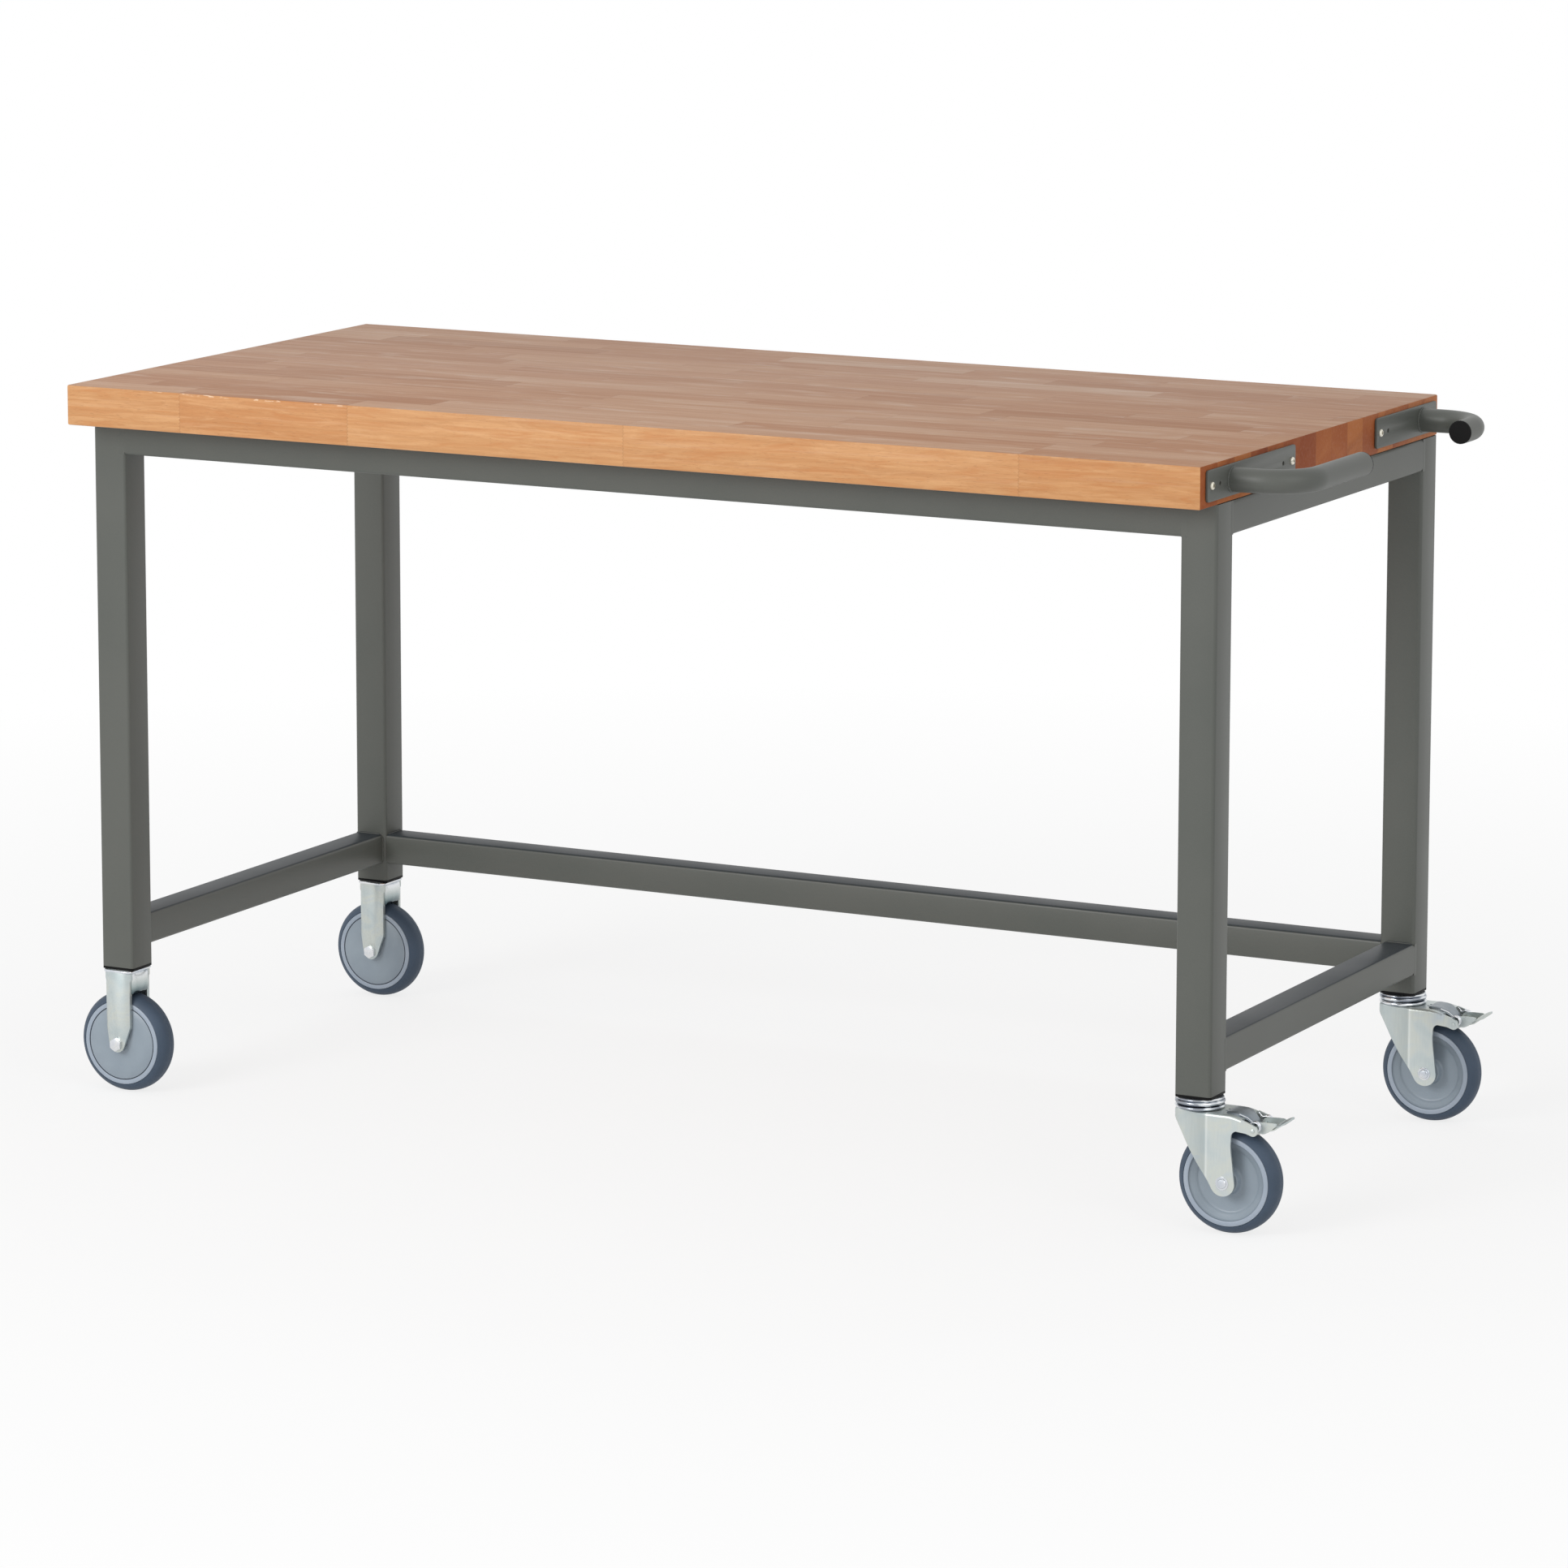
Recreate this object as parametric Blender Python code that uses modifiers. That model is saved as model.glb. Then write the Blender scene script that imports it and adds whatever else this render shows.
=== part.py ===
"""A mobile workbench: a thick beech top on a welded square-tube frame, with two push handles,
two fixed castors on the left and two braked swivel castors on the right.

Metres, +Z up, the front along -Y. The origin is on the floor under the middle of the whole bench.
"""

import math

import bmesh
import bpy
from mathutils import Matrix, Vector

# Worktop
TOP_LENGTH = 1.500
TOP_DEPTH = 0.700
TOP_HEIGHT = 0.887
TOP_THICKNESS = 0.049
TOP_EASING = 0.002

# Frame of square tube
LEG_SIDE = 0.045
TUBE_CORNER = 0.004
TUBE_WALL = 0.002
RAIL_SIDE = 0.040
RAIL_HEIGHT = 0.039
LOW_RAIL_RISE = 0.0225
OVERHANG_LEFT = 0.006
OVERHANG_FRONT = 0.048
BACK_RAIL_STEP = 0.0013
CLEARANCE = 0.0003

# Plastic insert closing each leg
INSERT_RIM = 0.0025
INSERT_DEPTH = 0.040

# Handles on the right end of the worktop, with places measured from the nearer long edge
PLATE_THICKNESS = 0.003
PLATE_HEIGHT = 0.036
PLATE_CORNER = 0.004
HANDLE_DROP = 0.024
HANDLE_REACH = 0.098
HANDLE_BEND = 0.052
HANDLE_RADIUS = 0.014
HANDLE_WALL = 0.002
PLUG_CAP = 0.002
PLUG_DEPTH = 0.014
FRONT_PLATE = (0.013, 0.260)
FRONT_HANDLE = (0.082, 0.264)
BACK_PLATE = (0.012, 0.198)
BACK_HANDLE = (0.056, 0.139)
SCREW_INSET = 0.011
SPARE_HOLE_INSET = 0.035
SCREW_HOLE_RADIUS = 0.0026

# Castor wheels
WHEEL_RADIUS = 0.0625
CORE_RADIUS = 0.0525
CORE_HALF_WIDTH = 0.0165
CROWN_RADIUS = 0.016
CROWN_HALF_FLAT = 0.0015
WHEEL_STEPS = 32
AXLE_RADIUS = 0.004
BUSH_RADIUS = 0.007
FORK_HALF_WIDTH = 0.0265
SHEET = 0.0025
FORK_HEADROOM = 0.0173
TRAIL = 0.0396
STEM_RADIUS = 0.006
STEM_REACH = 0.0386
HEX_RADIUS = 0.0085
HEX_HEIGHT = 0.005
BOLT_END = 0.002

# Race and brake of the swivel castors
RACE_RADIUS = 0.0305
RACE_HEIGHT = 0.0085
LOW_RACE_HEIGHT = 0.0045
PEDAL_X = 0.0765
PEDAL_DROP = 0.0148
PEDAL_PIN_RADIUS = 0.0025
PEDAL_BARREL_RADIUS = 0.0040
PEDAL_SHEET = 0.0024

# Places that follow from the sizes above
LEFT_REACH = WHEEL_RADIUS - OVERHANG_LEFT - LEG_SIDE / 2
TOP_X = (LEFT_REACH - HANDLE_REACH) / 2
TOP_LEFT = TOP_X - TOP_LENGTH / 2
TOP_RIGHT = TOP_X + TOP_LENGTH / 2
BOLT_REACH = FORK_HALF_WIDTH + CLEARANCE + HEX_HEIGHT + BOLT_END
TOP_Y = (LEG_SIDE / 2 - BOLT_REACH) / 2
TOP_FRONT = TOP_Y - TOP_DEPTH / 2
TOP_BACK = TOP_Y + TOP_DEPTH / 2
TOP_BOTTOM = TOP_HEIGHT - TOP_THICKNESS
HANDLE_HEIGHT = TOP_HEIGHT - HANDLE_DROP
FRAME_TOP = TOP_BOTTOM - CLEARANCE
FORK_TOP = 2 * WHEEL_RADIUS + FORK_HEADROOM
PEDAL_Z = FORK_TOP - PEDAL_DROP
LOW_RACE_BOTTOM = FORK_TOP + CLEARANCE
LOW_RACE_TOP = LOW_RACE_BOTTOM + LOW_RACE_HEIGHT
RACE_BOTTOM = LOW_RACE_TOP + CLEARANCE
CASTOR_TOP = RACE_BOTTOM + RACE_HEIGHT
STEM_TOP = CASTOR_TOP + STEM_REACH
INSERT_BOTTOM = CASTOR_TOP + CLEARANCE
LEG_FOOT_HEIGHT = INSERT_BOTTOM + INSERT_RIM + CLEARANCE
LOW_RAIL_BOTTOM = LEG_FOOT_HEIGHT + LOW_RAIL_RISE
FRAME_LEFT = TOP_LEFT + OVERHANG_LEFT
FRAME_RIGHT = TOP_RIGHT
FRAME_FRONT = TOP_FRONT + OVERHANG_FRONT
FRAME_BACK = TOP_BACK
LEG_LEFT_X = FRAME_LEFT + LEG_SIDE / 2
LEG_RIGHT_X = FRAME_RIGHT - LEG_SIDE / 2
LEG_FRONT_Y = FRAME_FRONT + LEG_SIDE / 2
LEG_BACK_Y = FRAME_BACK - LEG_SIDE / 2
ARM_INNER = FORK_HALF_WIDTH - SHEET
BUSH_HALF = ARM_INNER - CLEARANCE

# Colours and surfaces
PAINT = ((0.130, 0.138, 0.122), 0.42, 0.0)
BEECH = ((0.560, 0.330, 0.180), 0.50, 0.0)
BLACK_PLASTIC = ((0.008, 0.008, 0.009), 0.45, 0.0)
ZINC = ((0.600, 0.620, 0.600), 0.32, 0.9)
BRIGHT_ZINC = ((0.700, 0.710, 0.720), 0.18, 1.0)
BLUE_ZINC = ((0.330, 0.380, 0.430), 0.35, 0.9)
CORE_PLASTIC = ((0.300, 0.350, 0.420), 0.50, 0.0)
TREAD_RUBBER = ((0.055, 0.070, 0.120), 0.65, 0.0)

for old in list(bpy.data.objects):
    bpy.data.objects.remove(old, do_unlink=True)

bench = bpy.data.collections.new("mobile_workbench")
cutters = bpy.data.collections.new("cutters")
bpy.context.scene.collection.children.link(bench)
bpy.context.scene.collection.children.link(cutters)
cutters.hide_render = True


def surface(name, look):
    """A Principled material of its own for each piece."""
    colour, roughness, metallic = look
    material = bpy.data.materials.new(name)
    material.use_nodes = True
    shader = material.node_tree.nodes["Principled BSDF"]
    shader.inputs["Base Color"].default_value = (*colour, 1.0)
    shader.inputs["Roughness"].default_value = roughness
    shader.inputs["Metallic"].default_value = metallic
    material.diffuse_color = (*colour, 1.0)
    return material


def place(name, mesh, look, location=(0, 0, 0), rotation=(0, 0, 0), smooth=None):
    """Puts a mesh in the bench as one named piece."""
    mesh.name = name
    piece = bpy.data.objects.new(name, mesh)
    piece.location = location
    piece.rotation_euler = rotation
    piece.data.materials.append(surface(name, look))
    bench.objects.link(piece)
    if smooth is not None:
        mesh.shade_smooth()
        mesh.set_sharp_from_angle(angle=math.radians(smooth))
    return piece


def mesh_of(shape):
    """A mesh from a bmesh, with its normals turned outwards."""
    bmesh.ops.recalc_face_normals(shape, faces=shape.faces)
    mesh = bpy.data.meshes.new("shape")
    shape.to_mesh(mesh)
    shape.free()
    return mesh


def block(size, centre=(0, 0, 0)):
    """A plain block."""
    shape = bmesh.new()
    bmesh.ops.create_cube(shape, size=1.0)
    bmesh.ops.scale(shape, vec=size, verts=shape.verts)
    bmesh.ops.translate(shape, vec=centre, verts=shape.verts)
    return mesh_of(shape)


def slab(outline, low, high, across):
    """An outline pushed along one axis: across "Y" takes (x, z) points, "Z" (x, y) and "X" (y, z)."""
    shape = bmesh.new()
    put = {
        "X": lambda a, b, c: (c, a, b),
        "Y": lambda a, b, c: (a, c, b),
        "Z": lambda a, b, c: (a, b, c),
    }[across]
    corners = [shape.verts.new(put(a, b, low)) for a, b in outline]
    face = shape.faces.new(corners)
    pushed = bmesh.ops.extrude_face_region(shape, geom=[face])
    moved = [v for v in pushed["geom"] if isinstance(v, bmesh.types.BMVert)]
    bmesh.ops.translate(shape, vec=Vector(put(0, 0, high - low)), verts=moved)
    return mesh_of(shape)


def arc(centre, radius, start, end, steps):
    """Points along an arc, angles in degrees."""
    points = []
    for i in range(steps + 1):
        angle = math.radians(start + (end - start) * i / steps)
        points.append((centre[0] + radius * math.cos(angle), centre[1] + radius * math.sin(angle)))
    return points


def rounded(half_x, half_y, corner, steps=3):
    """The outline of a rectangle with rounded corners."""
    points = []
    for sx, sy, start in ((1, 1, 0), (-1, 1, 90), (-1, -1, 180), (1, -1, 270)):
        centre = (sx * (half_x - corner), sy * (half_y - corner))
        points += arc(centre, corner, start, start + 90, steps)
    return points


def rod(radius, low, high, sides=20, across="Z", centre=(0, 0)):
    """A round bar along one axis."""
    outline = arc(centre, radius, 0, 360 - 360 / sides, sides - 1)
    return slab(outline, low, high, across)


def turned(name, profile, look, location, steps=WHEEL_STEPS, across="Z"):
    """A closed profile of (radius, height) points turned round the piece's own axis."""
    shape = bmesh.new()
    corners = [shape.verts.new((radius, 0, height)) for radius, height in profile]
    for first, second in zip(corners, corners[1:] + corners[:1]):
        shape.edges.new((first, second))
    mesh = bpy.data.meshes.new("profile")
    shape.to_mesh(mesh)
    shape.free()
    rotation = (math.radians(90), 0, 0) if across == "Y" else (0, 0, 0)
    piece = place(name, mesh, look, location, rotation)
    screw = piece.modifiers.new("turn", "SCREW")
    screw.axis = "Z"
    screw.steps = steps
    screw.render_steps = steps
    screw.use_merge_vertices = True
    screw.merge_threshold = 0.00005
    screw.use_smooth_shade = True
    return piece


def boolean(piece, mesh, operation="DIFFERENCE"):
    """Cuts, joins or trims a piece with a shape given in the piece's own coordinates."""
    tool = bpy.data.objects.new(f"{piece.name}_{operation.lower()}_{len(piece.modifiers)}", mesh)
    tool.parent = piece
    tool.hide_render = True
    tool.display_type = "WIRE"
    cutters.objects.link(tool)
    cut = piece.modifiers.new(operation.lower(), "BOOLEAN")
    cut.operation = operation
    cut.solver = "EXACT"
    cut.object = tool
    return tool


def bevelled(piece, width, segments, angle=30):
    """Rounds the piece's sharp edges."""
    bevel = piece.modifiers.new("easing", "BEVEL")
    bevel.width = width
    bevel.segments = segments
    bevel.limit_method = "ANGLE"
    bevel.angle_limit = math.radians(angle)
    return bevel


def build_worktop():
    top = place(
        "worktop",
        block((TOP_LENGTH, TOP_DEPTH, TOP_THICKNESS)),
        BEECH,
        (TOP_X, TOP_Y, TOP_HEIGHT - TOP_THICKNESS / 2),
    )
    bevelled(top, TOP_EASING, 2)


def leg_outline(grow=0.0):
    half = LEG_SIDE / 2 + grow
    return rounded(half, half, TUBE_CORNER + grow)


def build_legs():
    for side, x in (("left", LEG_LEFT_X), ("right", LEG_RIGHT_X)):
        for row, y in (("front", LEG_FRONT_Y), ("back", LEG_BACK_Y)):
            height = FRAME_TOP - LEG_FOOT_HEIGHT
            leg = place(
                f"leg_{row}_{side}",
                slab(leg_outline(), 0, height, "Z"),
                PAINT,
                (x, y, LEG_FOOT_HEIGHT),
            )
            hollow = LEG_SIDE / 2 - TUBE_WALL
            inside = rounded(hollow, hollow, TUBE_CORNER - TUBE_WALL)
            boolean(leg, slab(inside, -0.01, height + 0.01, "Z"))


def build_rail(name, start, end, across, bottom):
    """A rail of rectangular tube whose ends follow the rounded corners of the two legs they meet."""
    length = end - start
    half = RAIL_HEIGHT / 2
    width = RAIL_SIDE / 2
    centre = {"X": ((start + end) / 2, across), "Y": (across, (start + end) / 2)}
    axis = "X" if name.endswith(("front", "back")) else "Y"
    x, y = centre[axis]
    outer = rounded(width, half, TUBE_CORNER)
    mesh = slab(outer, -length / 2, length / 2, axis)
    inner = rounded(width - TUBE_WALL, half - TUBE_WALL, TUBE_CORNER - TUBE_WALL)
    cavity = slab(inner, -length / 2 - 0.01, length / 2 + 0.01, axis)
    rail = place(name, mesh, PAINT, (x, y, bottom + half))
    boolean(rail, cavity)
    leg_x = {"left": LEG_LEFT_X, "right": LEG_RIGHT_X}
    leg_y = {"front": LEG_FRONT_Y, "back": LEG_BACK_Y}
    for row in ("front", "back"):
        for side in ("left", "right"):
            if row not in name and axis == "X":
                continue
            if side not in name and axis == "Y":
                continue
            shift = (leg_x[side] - x, leg_y[row] - y)
            outline = [(a + shift[0], b + shift[1]) for a, b in leg_outline(CLEARANCE)]
            boolean(rail, slab(outline, -RAIL_HEIGHT, RAIL_HEIGHT, "Z"))


def build_rails():
    reach = TUBE_CORNER
    low_x = FRAME_LEFT + LEG_SIDE - reach
    high_x = FRAME_RIGHT - LEG_SIDE + reach
    low_y = FRAME_FRONT + LEG_SIDE - reach
    high_y = FRAME_BACK - LEG_SIDE + reach
    half = RAIL_SIDE / 2
    top = FRAME_TOP - RAIL_HEIGHT
    build_rail("top_rail_front", low_x, high_x, FRAME_FRONT + half, top)
    build_rail("top_rail_back", low_x, high_x, FRAME_BACK - half, top)
    build_rail("top_rail_left", low_y, high_y, FRAME_LEFT + half, top)
    build_rail("top_rail_right", low_y, high_y, FRAME_RIGHT - half, top)
    build_rail("low_rail_left", low_y, high_y, FRAME_LEFT + half, LOW_RAIL_BOTTOM)
    build_rail("low_rail_right", low_y, high_y, FRAME_RIGHT - half, LOW_RAIL_BOTTOM)
    back_rail_front = FRAME_BACK - LEG_SIDE + BACK_RAIL_STEP
    build_rail("low_rail_back", low_x, high_x, back_rail_front + half, LOW_RAIL_BOTTOM)


def build_inserts():
    """A ribbed plastic plug in each leg, with a rim under the tube and a bore for the castor's stem."""
    inner = LEG_SIDE / 2 - TUBE_WALL - CLEARANCE
    for side, x in (("left", LEG_LEFT_X), ("right", LEG_RIGHT_X)):
        for row, y in (("front", LEG_FRONT_Y), ("back", LEG_BACK_Y)):
            insert = place(
                f"insert_{row}_{side}",
                slab(leg_outline(), 0, INSERT_RIM, "Z"),
                BLACK_PLASTIC,
                (x, y, INSERT_BOTTOM),
            )
            body = rounded(inner, inner, TUBE_CORNER - TUBE_WALL)
            boolean(insert, slab(body, INSERT_RIM / 2, INSERT_RIM + INSERT_DEPTH, "Z"), "UNION")
            boolean(insert, rod(STEM_RADIUS + CLEARANCE, -0.01, INSERT_DEPTH + 0.01))
            for dx, dy in ((1, 0), (-1, 0), (0, 1), (0, -1)):
                long_side = inner * 1.2
                size = (0.006 if dx else long_side, 0.006 if dy else long_side, INSERT_DEPTH)
                centre = (dx * inner * 0.66, dy * inner * 0.66, INSERT_RIM + INSERT_DEPTH * 0.6)
                boolean(insert, block(size, centre))


def pierced_plate(outline, holes, hole_radius):
    """A flat plate standing across X, drawn as a filled outline with round holes."""
    drawing = bpy.data.curves.new("plate", "CURVE")
    drawing.dimensions = "2D"
    drawing.fill_mode = "BOTH"
    drawing.extrude = PLATE_THICKNESS / 2
    rings = [outline]
    for hole in holes:
        rings.append(arc(hole, hole_radius, 0, 330, 11))
    for ring in rings:
        line = drawing.splines.new("POLY")
        line.points.add(len(ring) - 1)
        for point, (a, b) in zip(line.points, ring):
            point.co = (a, b, 0, 1)
        line.use_cyclic_u = True
    mesh = mesh_from_curve(drawing)
    turn = Matrix(((0, 0, 1, PLATE_THICKNESS / 2), (1, 0, 0, 0), (0, 1, 0, 0), (0, 0, 0, 1)))
    mesh.transform(turn)
    return mesh


def mesh_from_curve(curve):
    """The solid or sheet that a curve draws, as a mesh."""
    holder = bpy.data.objects.new("drawing", curve)
    bpy.context.scene.collection.objects.link(holder)
    bpy.context.view_layer.update()
    graph = bpy.context.evaluated_depsgraph_get()
    mesh = bpy.data.meshes.new_from_object(holder.evaluated_get(graph))
    bpy.data.objects.remove(holder, do_unlink=True)
    shape = bmesh.new()
    shape.from_mesh(mesh)
    bmesh.ops.remove_doubles(shape, verts=shape.verts, dist=0.00001)
    return mesh_of(shape)


def build_handle(row, edge, inward, plate, handle):
    """A flat plate on the end of the worktop with a bent tube welded on and a plug in its open end."""
    middle = edge + inward * (plate[0] + plate[1]) / 2
    half = (plate[1] - plate[0]) / 2
    holes = []
    for inset in (SCREW_INSET, SPARE_HOLE_INSET):
        for sign in (-1, 1):
            holes.append((sign * (half - inset), 0.0))
    base = TOP_RIGHT + CLEARANCE
    place(
        f"handle_plate_{row}",
        pierced_plate(rounded(half, PLATE_HEIGHT / 2, PLATE_CORNER), holes, SCREW_HOLE_RADIUS),
        PAINT,
        (base, middle, HANDLE_HEIGHT),
    )
    root, end = (edge + inward * handle[0], edge + inward * handle[1])
    turn = inward
    start = base + PLATE_THICKNESS + CLEARANCE
    run_x = TOP_RIGHT + HANDLE_REACH - HANDLE_RADIUS
    tube_end = end - turn * (PLUG_CAP + CLEARANCE)
    path = bpy.data.curves.new(f"handle_path_{row}", "CURVE")
    path.dimensions = "3D"
    path.bevel_depth = HANDLE_RADIUS
    path.bevel_resolution = 6
    path.use_fill_caps = False
    corner = (run_x - start - HANDLE_BEND, turn * HANDLE_BEND)
    stops = [(0.0, 0.0)]
    stops += arc(corner, HANDLE_BEND, -90 * turn, 0, 8)
    stops += [(run_x - start, tube_end - root)]
    line = path.splines.new("POLY")
    line.points.add(len(stops) - 1)
    for point, (a, b) in zip(line.points, stops):
        point.co = (a, b, 0, 1)
    mesh = mesh_from_curve(path)
    tube = place(f"handle_tube_{row}", mesh, PAINT, (start, root, HANDLE_HEIGHT), smooth=40)
    wall = tube.modifiers.new("wall", "SOLIDIFY")
    wall.thickness = HANDLE_WALL
    wall.offset = -1
    plug_radius = HANDLE_RADIUS - HANDLE_WALL - CLEARANCE
    profile = (
        (0.0, 0.0),
        (HANDLE_RADIUS - 0.001, 0.0),
        (HANDLE_RADIUS, -0.0008),
        (HANDLE_RADIUS, -PLUG_CAP),
        (plug_radius, -PLUG_CAP),
        (plug_radius, -PLUG_DEPTH + 0.002),
        (plug_radius - 0.0015, -PLUG_DEPTH),
        (0.0, -PLUG_DEPTH),
    )
    plug = turned(f"handle_plug_{row}", profile, BLACK_PLASTIC, (run_x, end, HANDLE_HEIGHT), 24)
    plug.rotation_euler = (math.radians(-90 * turn), 0, 0)


def wheel_core(name, location, dished):
    """The hard centre of a wheel: flat covers on a fixed castor, a dished web on a swivel castor."""
    bore = BUSH_RADIUS + CLEARANCE
    face = CORE_HALF_WIDTH
    if dished:
        side = [(0.0470, face), (0.0458, face - 0.0012), (0.0390, 0.0095), (0.0375, 0.0085)]
        side += [(0.0165, 0.0078), (0.0145, 0.0150), (0.0135, face - 0.0005)]
    else:
        side = [(0.0470, face), (0.0466, face - 0.0008), (0.0458, face - 0.0008)]
        side += [(0.0454, face - 0.0001), (0.0130, face - 0.0001), (0.0120, face + 0.0010)]
    hub = side[-1][1]
    profile = [(CORE_RADIUS, face - 0.0005), (CORE_RADIUS, -face + 0.0005), (CORE_RADIUS - 0.0005, -face)]
    profile += [(radius, -height) for radius, height in side]
    profile += [(bore, -hub), (bore, hub)]
    profile += side[::-1]
    profile += [(CORE_RADIUS - 0.0005, face)]
    turned(name, profile, CORE_PLASTIC, location, across="Y")


def wheel_tread(name, location):
    """The soft round-shouldered tread on the core."""
    centre = WHEEL_RADIUS - CROWN_RADIUS
    inner = CORE_RADIUS + CLEARANCE
    lowest = math.degrees(math.asin((inner + 0.0004 - centre) / CROWN_RADIUS))
    upper = arc((0, 0), CROWN_RADIUS, lowest, 90, 4)
    side = [(centre + b, CROWN_HALF_FLAT + a) for a, b in upper]
    profile = side[::-1] + [(inner, side[0][1] - 0.0004)]
    profile += [(radius, -height) for radius, height in profile[::-1]]
    turned(name, profile[::-1], TREAD_RUBBER, location, across="Y")


def hexagon(radius, low, high, centre=(0, 0)):
    return slab(arc(centre, radius, 30, 330, 5), low, high, "Y")


def build_axle(prefix, centre):
    """The wheel, the sleeve it turns on, and the bolt and nut through the sheet metal."""
    wheel_core(f"{prefix}_core", centre, "swivel" in prefix)
    wheel_tread(f"{prefix}_tread", centre)
    sleeve = (
        (BUSH_RADIUS, BUSH_HALF),
        (BUSH_RADIUS, -BUSH_HALF),
        (AXLE_RADIUS + CLEARANCE, -BUSH_HALF),
        (AXLE_RADIUS + CLEARANCE, BUSH_HALF),
    )
    turned(f"{prefix}_bush", sleeve, BRIGHT_ZINC, centre, 20, "Y")
    outer = FORK_HALF_WIDTH + CLEARANCE
    if "swivel" in prefix:
        head = rod(HEX_RADIUS - 0.0005, -outer - HEX_HEIGHT * 0.6, -outer, 24, "Y")
    else:
        head = hexagon(HEX_RADIUS, -outer - HEX_HEIGHT, -outer)
    bolt = place(f"{prefix}_bolt", head, BRIGHT_ZINC, centre)
    shank_end = BOLT_REACH
    boolean(bolt, rod(AXLE_RADIUS, -outer - 0.001, shank_end, 16, "Y"), "UNION")
    nut = place(f"{prefix}_nut", hexagon(HEX_RADIUS, outer, outer + HEX_HEIGHT), BRIGHT_ZINC, centre)
    boolean(nut, rod(AXLE_RADIUS + CLEARANCE, 0, shank_end + 0.01, 16, "Y"))


def build_stem(prefix, x, y, head_top, thickness):
    """The threaded pin that holds a castor in its leg, with its head under the sheet."""
    profile = (
        (0.0, STEM_TOP),
        (STEM_RADIUS - 0.001, STEM_TOP),
        (STEM_RADIUS, STEM_TOP - 0.001),
        (STEM_RADIUS, head_top),
        (0.0105, head_top),
        (0.0105, head_top - thickness * 0.6),
        (0.0090, head_top - thickness),
        (0.0, head_top - thickness),
    )
    turned(f"{prefix}_stem", profile, BRIGHT_ZINC, (x, y, 0), 20)


def build_fixed_castor(row, y):
    """A fixed castor: a drawn cap whose two arms, folded back along both edges, hold the wheel."""
    prefix = f"fixed_{row}"
    x = LEG_LEFT_X
    half_x, fold_x, fold_y, half_y = 0.0185, 0.0105, 0.0215, FORK_HALF_WIDTH
    plan = [(half_x, fold_y), (fold_x, half_y), (-fold_x, half_y), (-half_x, fold_y)]
    plan += [(-half_x, -fold_y), (-fold_x, -half_y), (fold_x, -half_y), (half_x, -fold_y)]
    block_shape = slab(plan, WHEEL_RADIUS - 0.0225, CASTOR_TOP, "Z")
    bracket = place(f"{prefix}_bracket", block_shape, ZINC, (x, y, 0), smooth=25)
    bevel = bevelled(bracket, 0.0028, 3, 60)
    bevel.angle_limit = math.radians(60)
    inner = [(a - math.copysign(SHEET, a) * (0.9 if abs(b) < half_y else 0.45),
              b - math.copysign(SHEET, b)) for a, b in plan]
    boolean(bracket, slab(inner, 0.0, CASTOR_TOP - SHEET, "Z"))
    neck = WHEEL_RADIUS + 0.0215
    shoulder = CASTOR_TOP - 0.0144
    flare = CASTOR_TOP - 0.0094
    over = CASTOR_TOP + 0.0156
    arm = arc((0, WHEEL_RADIUS), 0.0105, 200, 340, 6)
    arm += [(0.0170, neck), (0.0170, shoulder), (0.0200, flare), (0.0200, over)]
    arm += [(-0.0200, over), (-0.0200, flare), (-0.0170, shoulder), (-0.0170, neck)]
    boolean(bracket, slab(arm, -0.04, 0.04, "Y"), "INTERSECT")
    sill = CASTOR_TOP - 0.0309
    window = [(-0.0172, 0.0), (0.0172, 0.0), (0.0172, sill - 0.0015)]
    window += arc((0.0112, sill), 0.006, 0, 90, 3) + arc((-0.0112, sill), 0.006, 90, 180, 3)
    window += [(-0.0172, sill - 0.0015)]
    boolean(bracket, slab(window, -0.03, 0.03, "X"))
    boolean(bracket, rod(AXLE_RADIUS + CLEARANCE, -0.04, 0.04, 16, "Y", (0, WHEEL_RADIUS)))
    boolean(bracket, rod(STEM_RADIUS + CLEARANCE, shoulder, over))
    build_stem(prefix, x, y, CASTOR_TOP - SHEET - CLEARANCE, 0.004)
    build_axle(prefix, (x, y, WHEEL_RADIUS))


def build_races(prefix, x, y):
    """The two rings the fork swivels between."""
    bore = STEM_RADIUS + CLEARANCE
    top = CASTOR_TOP
    upper = [(0.0235, top), (0.0262, top - 0.0004), (0.0288, top - 0.0016), (0.0302, top - 0.0034)]
    upper += [(RACE_RADIUS, top - 0.0048), (RACE_RADIUS - 0.0006, RACE_BOTTOM + 0.0006)]
    upper += [(RACE_RADIUS - 0.0018, RACE_BOTTOM), (bore, RACE_BOTTOM), (bore, top)]
    turned(f"{prefix}_race_top", upper, BRIGHT_ZINC, (x, y, 0), 28)
    lower = [(RACE_RADIUS - 0.0024, LOW_RACE_TOP), (RACE_RADIUS - 0.0006, LOW_RACE_TOP - 0.0012)]
    lower += [(RACE_RADIUS - 0.0004, LOW_RACE_TOP - 0.0026), (RACE_RADIUS - 0.0022, LOW_RACE_BOTTOM)]
    lower += [(bore, LOW_RACE_BOTTOM), (bore, LOW_RACE_TOP)]
    turned(f"{prefix}_race_low", lower, BRIGHT_ZINC, (x, y, 0), 28)


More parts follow.
